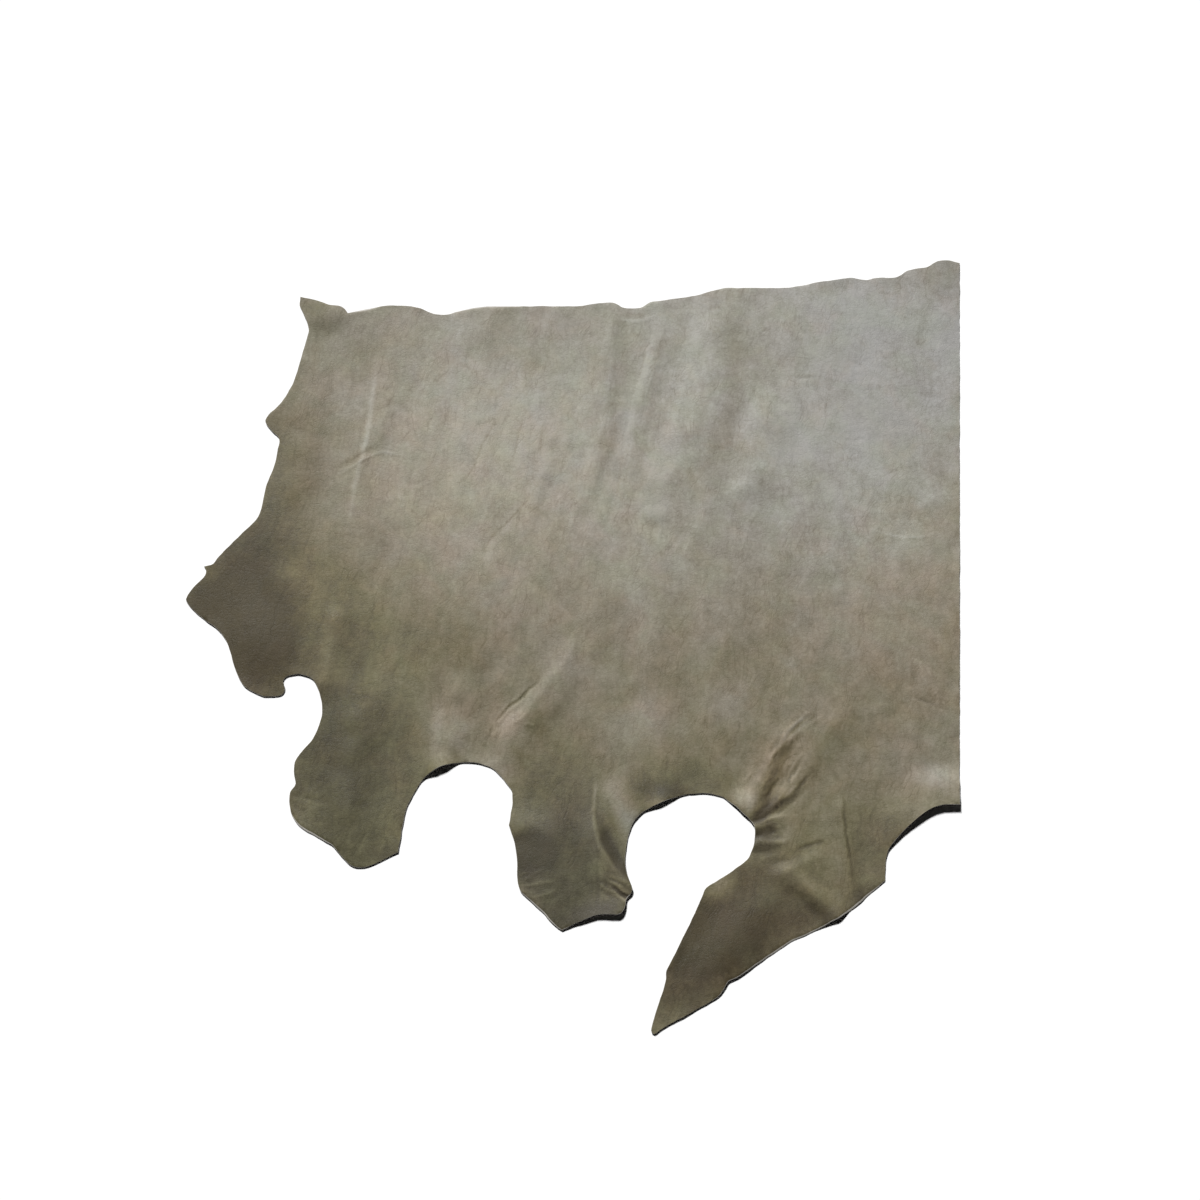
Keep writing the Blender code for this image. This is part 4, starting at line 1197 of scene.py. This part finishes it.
def grain_group():
    """Leather grain: small pebbles parted by fine furrows, as a height, and the furrows as a mask."""
    inputs = {"Position": None, "Pebble Size": 0.0016, "Fineness": 0.4}
    tree, given, out = shared_group("grain", inputs, ["Height", "Furrows"])
    moved = drifted(tree, given["Position"], 260.0, 2.0, 0.0012)
    scale = calculated(tree, "DIVIDE", 1.0, given["Pebble Size"])
    cells = feed(tree, add(tree, "TexVoronoi", feature="DISTANCE_TO_EDGE"), Vector=moved, Scale=scale)
    pebbles = eased(tree, cells.outputs[0], 0.22)
    fine = noise_node(tree, given["Position"], 1700.0, 3.0)
    rough = calculated(tree, "MULTIPLY", fine[0], given["Fineness"])
    put(tree, out["Height"], calculated(tree, "ADD", pebbles, rough))
    put(tree, out["Furrows"], calculated(tree, "SUBTRACT", 1.0, pebbles))
    return tree


def fibre_group():
    """Short matted fibres, as a height from 0 to 1."""
    tree, given, out = shared_group("fibres", {"Position": None, "Size": 0.0012}, ["Height"])
    scale = calculated(tree, "DIVIDE", 1.0, given["Size"])
    mat = noise_node(tree, given["Position"], scale, 4.0, Roughness=0.7, Distortion=2.2)
    put(tree, out["Height"], mat[0])
    return tree


GROUPS = {group.name: group for group in (clouds_group(), streaks_group(), grain_group(), fibre_group())}


def placed(tree, name, position, **values):
    """The outputs of one of the shared groups, placed in a material with its own values."""
    node = add(tree, "Group", node_tree=GROUPS[name], label=name)
    return feed(tree, node, Position=position, **values).outputs


def streaks(tree, position, turn, width, length, **values):
    """Streaks that run at so many degrees, so wide and so long."""
    return placed(tree, "streaks", position, Turn=math.radians(turn), Width=width, Length=length, **values)


def new_material(name, roughness, **constants):
    """A material with its nodes, its shader and the position on the hide."""
    material = bpy.data.materials.new(name)
    material.use_nodes = True
    tree = material.node_tree
    shader = feed(tree, tree.nodes["Principled BSDF"], Roughness=roughness, **constants)
    return material, tree, shader, add(tree, "TexCoord").outputs["Object"]


def bumped(tree, shader, strength, distance, relief):
    """Gives the shader's surface its relief."""
    bump = feed(tree, add(tree, "Bump"), Strength=strength, Distance=distance, Height=relief)
    put(tree, shader.inputs["Normal"], bump.outputs[0])


def mixed(tree, share, first, second, blend="MIX"):
    """A colour between two by a share, or the first one multiplied by the second."""
    node = add(tree, "Mix", data_type="RGBA", blend_type=blend)
    for number, source in ((0, share), (6, first), (7, second)):
        put(tree, node.inputs[number], source)
    return node.outputs[2]


def painted(tree, name):
    """A number that the mesh has at each of its points."""
    return add(tree, "Attribute", attribute_name=name).outputs["Fac"]


# The leather's colours from its darkest tone to its palest, and the tones they stand at.
LEATHER_TONES = (
    (0.0, (0.061, 0.050, 0.031, 1)),
    (0.2, (0.091, 0.077, 0.046, 1)),
    (0.4, (0.138, 0.1195, 0.071, 1)),
    (0.6, (0.188, 0.164, 0.117, 1)),
    (0.8, (0.242, 0.219, 0.174, 1)),
    (1.0, (0.301, 0.284, 0.244, 1)),
)
COMMON_TONE = 0.56
TINTS = (("ash", (0.965, 1.0, 1.11, 1)), ("moss", (0.94, 1.0, 0.89, 1)), ("rose", (1.055, 0.965, 0.91, 1)))
ELSEWHERE = (3.1, 1.7, 0.6)  # where the moss has its clouds from, so that they aren't those of the rose

# The grain side's clouds and streaks, in metres and degrees, and how much paler and darker they make it.
Clouds = namedtuple("Clouds", "name size detail contrast shade")
CLOUDS = (
    Clouds("broad", 0.12, 6.0, 2.2, 0.18),
    Clouds("small", 0.032, 8.0, 2.8, 0.16),
    Clouds("speckle", 0.005, 5.0, 2.4, 0.09),
    Clouds("middle", 0.012, 6.0, 3.0, 0.10),
)
Streaks = namedtuple("Streaks", "name turn width length contrast shade")
STREAKS = (
    Streaks("drawn", -76, 0.012, 0.16, 2.4, 0.09),
    Streaks("creped", -6, 0.0030, 0.011, 2.6, 0.04),
    Streaks("striped", -87, 0.0024, 0.05, 2.4, 0.07),
)
# The stretch makes the leather paler where it bends outwards, as pull-up leather does and as a painted
# highlight on crests, and darker in its hollows, as painted shade.
PALING = 1.4  # how much paler the leather is for each unit of its stretch
DEEPEST_HOLLOW_SHADE = -0.14
PALEST_BEND = 0.18


def colour_ramp(tree, tone):
    """The leather's colour at a tone."""
    ramp = feed(tree, add(tree, "ValToRGB"), tone)
    stops = ramp.color_ramp.elements
    stops[0].position, stops[0].color = LEATHER_TONES[0]
    stops[1].position, stops[1].color = LEATHER_TONES[-1]
    for at, colour in LEATHER_TONES[1:-1]:
        stops.new(at).color = colour
    return ramp.outputs[0]


def grain_side():
    """Grey taupe pull-up leather: cloudy, streaked, paler where it bends outwards, partly as painted
    highlight, with painted shade in its hollows and darker in its furrows.
    """
    material, tree, shader, position = new_material("grain side", 0.5, IOR=1.42, Specular_IOR_Level=0.28)
    masks = {}
    for row in CLOUDS:
        values = {"Size": row.size, "Detail": row.detail, "Contrast": row.contrast}
        masks[row.name] = placed(tree, "clouds", position, **values)[0]
    for row in STREAKS:
        masks[row.name] = streaks(tree, position, row.turn, row.width, row.length, Contrast=row.contrast)[0]
    shown = placed(tree, "clouds", position, Size=0.05, Detail=4.0, Contrast=5.0)[0]
    unshown = calculated(tree, "SUBTRACT", 1.0, shown)
    veined = calculated(tree, "MULTIPLY", streaks(tree, position, -72, 0.03, 0.11)["Lines"], shown)
    lined_up = calculated(tree, "MULTIPLY", streaks(tree, position, -8, 0.012, 0.035)["Lines"], unshown)
    network = placed(tree, "grain", position, Pebble_Size=0.0075, Fineness=0.0)
    grain = placed(tree, "grain", position, Pebble_Size=0.0016, Fineness=0.35)

    # Paler on outward bends, partly pull-up and partly painted highlight; darker in hollows as painted
    # shade.
    bend_paling_and_shade = calculated(tree, "MULTIPLY", painted(tree, "stretch"), PALING)
    shade = calculated(tree, "MINIMUM", calculated(tree, "MAXIMUM", bend_paling_and_shade, DEEPEST_HOLLOW_SHADE), PALEST_BEND)
    for row in CLOUDS + STREAKS:
        change = calculated(tree, "MULTIPLY_ADD", masks[row.name], row.shade, -row.shade / 2)
        shade = calculated(tree, "ADD", shade, change)
    furrows = ((veined, -0.10), (lined_up, -0.06), (network["Furrows"], -0.04), (grain["Furrows"], -0.03))
    for mask, amount in furrows:
        shade = calculated(tree, "MULTIPLY_ADD", mask, amount, shade)
    # The mesh's tone holds the stains and the painted light and shade of the folds and creases.
    tone = calculated(tree, "ADD", painted(tree, "tone"), COMMON_TONE)
    tone = calculated(tree, "MULTIPLY_ADD", shade, 0.5, tone, clamp=True)
    brightness = calculated(tree, "MULTIPLY_ADD", shade, 0.85, 1.0)
    colour = vector_node(tree, "SCALE", colour_ramp(tree, tone), Scale=brightness)

    elsewhere = vector_node(tree, "ADD", position, ELSEWHERE)
    masks["ash"] = masks["broad"]
    masks["moss"] = placed(tree, "clouds", elsewhere, Size=0.06, Detail=7.0, Contrast=3.4)[0]
    masks["rose"] = placed(tree, "clouds", position, Size=0.05, Detail=7.0, Contrast=3.4)[0]
    for name, tint in TINTS:
        share = calculated(tree, "MULTIPLY_ADD", masks[name], 0.8, -0.22)
        share = calculated(tree, "ADD", share, painted(tree, name), clamp=True)
        colour = mixed(tree, share, colour, tint, "MULTIPLY")
    put(tree, shader.inputs["Base Color"], colour)

    polish = calculated(tree, "MULTIPLY_ADD", masks["small"], 0.12, 0.43)
    polish = calculated(tree, "MULTIPLY_ADD", masks["creped"], 0.06, polish)
    put(tree, shader.inputs["Roughness"], polish)
    relief = grain["Height"]
    reliefs = ((network["Height"], 0.8), (masks["creped"], 0.5), (veined, -1.2), (lined_up, -0.8))
    for mask, amount in reliefs:
        relief = calculated(tree, "MULTIPLY_ADD", mask, amount, relief)
    bumped(tree, shader, 0.4, 0.00025, relief)
    return material


def flesh_side():
    """The napped underside: matt, dark and fibrous."""
    sheen = {"Sheen_Weight": 0.25, "Sheen_Roughness": 0.5}
    material, tree, shader, position = new_material("flesh side", 0.93, **sheen)
    clouds = placed(tree, "clouds", position, Size=0.09, Detail=5.0, Contrast=2.0)[0]
    brushed = streaks(tree, position, 20, 0.006, 0.07, Contrast=1.6)[0]
    nap = placed(tree, "fibres", position, Size=0.0013)[0]
    share = calculated(tree, "MULTIPLY_ADD", brushed, 0.4, clouds)
    share = calculated(tree, "MULTIPLY", share, 0.7, clamp=True)
    colour = mixed(tree, share, (0.060, 0.052, 0.041, 1), (0.118, 0.105, 0.088, 1))
    colour = mixed(tree, calculated(tree, "MULTIPLY", nap, 0.25), colour, (0.22, 0.20, 0.17, 1))
    put(tree, shader.inputs["Base Color"], colour)
    bumped(tree, shader, 0.6, 0.0005, nap)
    return material


def raw_edge():
    """The cut through the leather: pale, cloudy fibres."""
    material, tree, shader, position = new_material("raw edge", 0.88)
    clouds = placed(tree, "clouds", position, Size=0.012, Detail=5.0, Contrast=2.0)[0]
    fibres = placed(tree, "fibres", position, Size=0.0007)[0]
    colour = mixed(tree, clouds, (0.190, 0.172, 0.145, 1), (0.400, 0.380, 0.340, 1))
    colour = mixed(tree, calculated(tree, "MULTIPLY", fibres, 0.5), colour, (0.50, 0.480, 0.440, 1))
    put(tree, shader.inputs["Base Color"], colour)
    bumped(tree, shader, 0.6, 0.0003, fibres)
    return material


# -------------------------------------------------------------------------------------------- floor

FLOOR_REACH = 6.0
FLOOR_LEVEL = -0.0003  # just under the hide
FLOOR_COLOUR = (0.86, 0.86, 0.86, 1)


def pale_floor():
    """A plain pale floor."""
    turns = ((-1, -1), (1, -1), (1, 1), (-1, 1))
    mesh = bpy.data.meshes.new("floor")
    mesh.from_pydata([(x * FLOOR_REACH, y * FLOOR_REACH, FLOOR_LEVEL) for x, y in turns], [], [(0, 1, 2, 3)])
    material = bpy.data.materials.new("floor")
    material.use_nodes = True
    tree = material.node_tree
    feed(tree, tree.nodes["Principled BSDF"], Base_Color=FLOOR_COLOUR, Roughness=0.9)
    mesh.materials.append(material)
    floor = bpy.data.objects.new("floor", mesh)
    bpy.context.scene.collection.objects.link(floor)


# ---------------------------------------------------------------------------------- light and camera

KEY_HEIGHT_ANGLE = 44  # degrees above the floor
KEY_SIDE_ANGLE = -20  # degrees round from the back edge's side, to the neck's side
KEY_POWER = 5.35
KEY_SOFTNESS = 9  # degrees across, as of a large window some way off
ROOM_GLOW = 0.006
WALL_BRIGHTNESS = 0.8


def key_light():
    """A soft, far light from behind the back edge."""
    lamp = bpy.data.lights.new("key", "SUN")
    lamp.energy = KEY_POWER
    lamp.angle = math.radians(KEY_SOFTNESS)
    holder = bpy.data.objects.new("key", lamp)
    holder.rotation_euler = (math.radians(KEY_HEIGHT_ANGLE - 90), 0, math.radians(-KEY_SIDE_ANGLE))
    bpy.context.scene.collection.objects.link(holder)


def room():
    """A faint glow from all round, and a pale wall far behind the floor."""
    world = bpy.data.worlds.new("room")
    world.use_nodes = True
    tree = world.node_tree
    glow = tree.nodes["Background"]
    feed(tree, glow, Color=(1, 1, 1, 1), Strength=ROOM_GLOW)
    wall = feed(tree, add(tree, "Background"), Color=(1, 1, 1, 1), Strength=WALL_BRIGHTNESS)
    seen = add(tree, "LightPath").outputs["Is Camera Ray"]
    both = feed(tree, add(tree, "MixShader"), seen, glow.outputs[0], wall.outputs[0])
    put(tree, tree.nodes["World Output"].inputs["Surface"], both.outputs[0])
    bpy.context.scene.world = world


CAMERA_HEIGHT_ANGLE = 75  # degrees above the floor, from the near edge's side
CAMERA_DISTANCE = 2.5
CAMERA_AIM = Vector((0.0254, 0.0367, 0))
CAMERA_LENS = 50
CAMERA_FILM = 36


def camera():
    """A camera that looks down at the hide."""
    angle = math.radians(CAMERA_HEIGHT_ANGLE)
    data = bpy.data.cameras.new("camera")
    data.lens = CAMERA_LENS
    data.sensor_width = CAMERA_FILM
    holder = bpy.data.objects.new("camera", data)
    holder.location = CAMERA_AIM + CAMERA_DISTANCE * Vector((0, -math.cos(angle), math.sin(angle)))
    holder.rotation_euler = (math.pi / 2 - angle, 0, 0)
    bpy.context.scene.collection.objects.link(holder)
    bpy.context.scene.camera = holder


hide = bpy.data.objects.new("leather_hide", hide_mesh())
bpy.context.scene.collection.objects.link(hide)
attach(hide, "root")
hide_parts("hide")

pale_floor()
key_light()
room()
camera()
bpy.context.scene.view_settings.view_transform = "Standard"
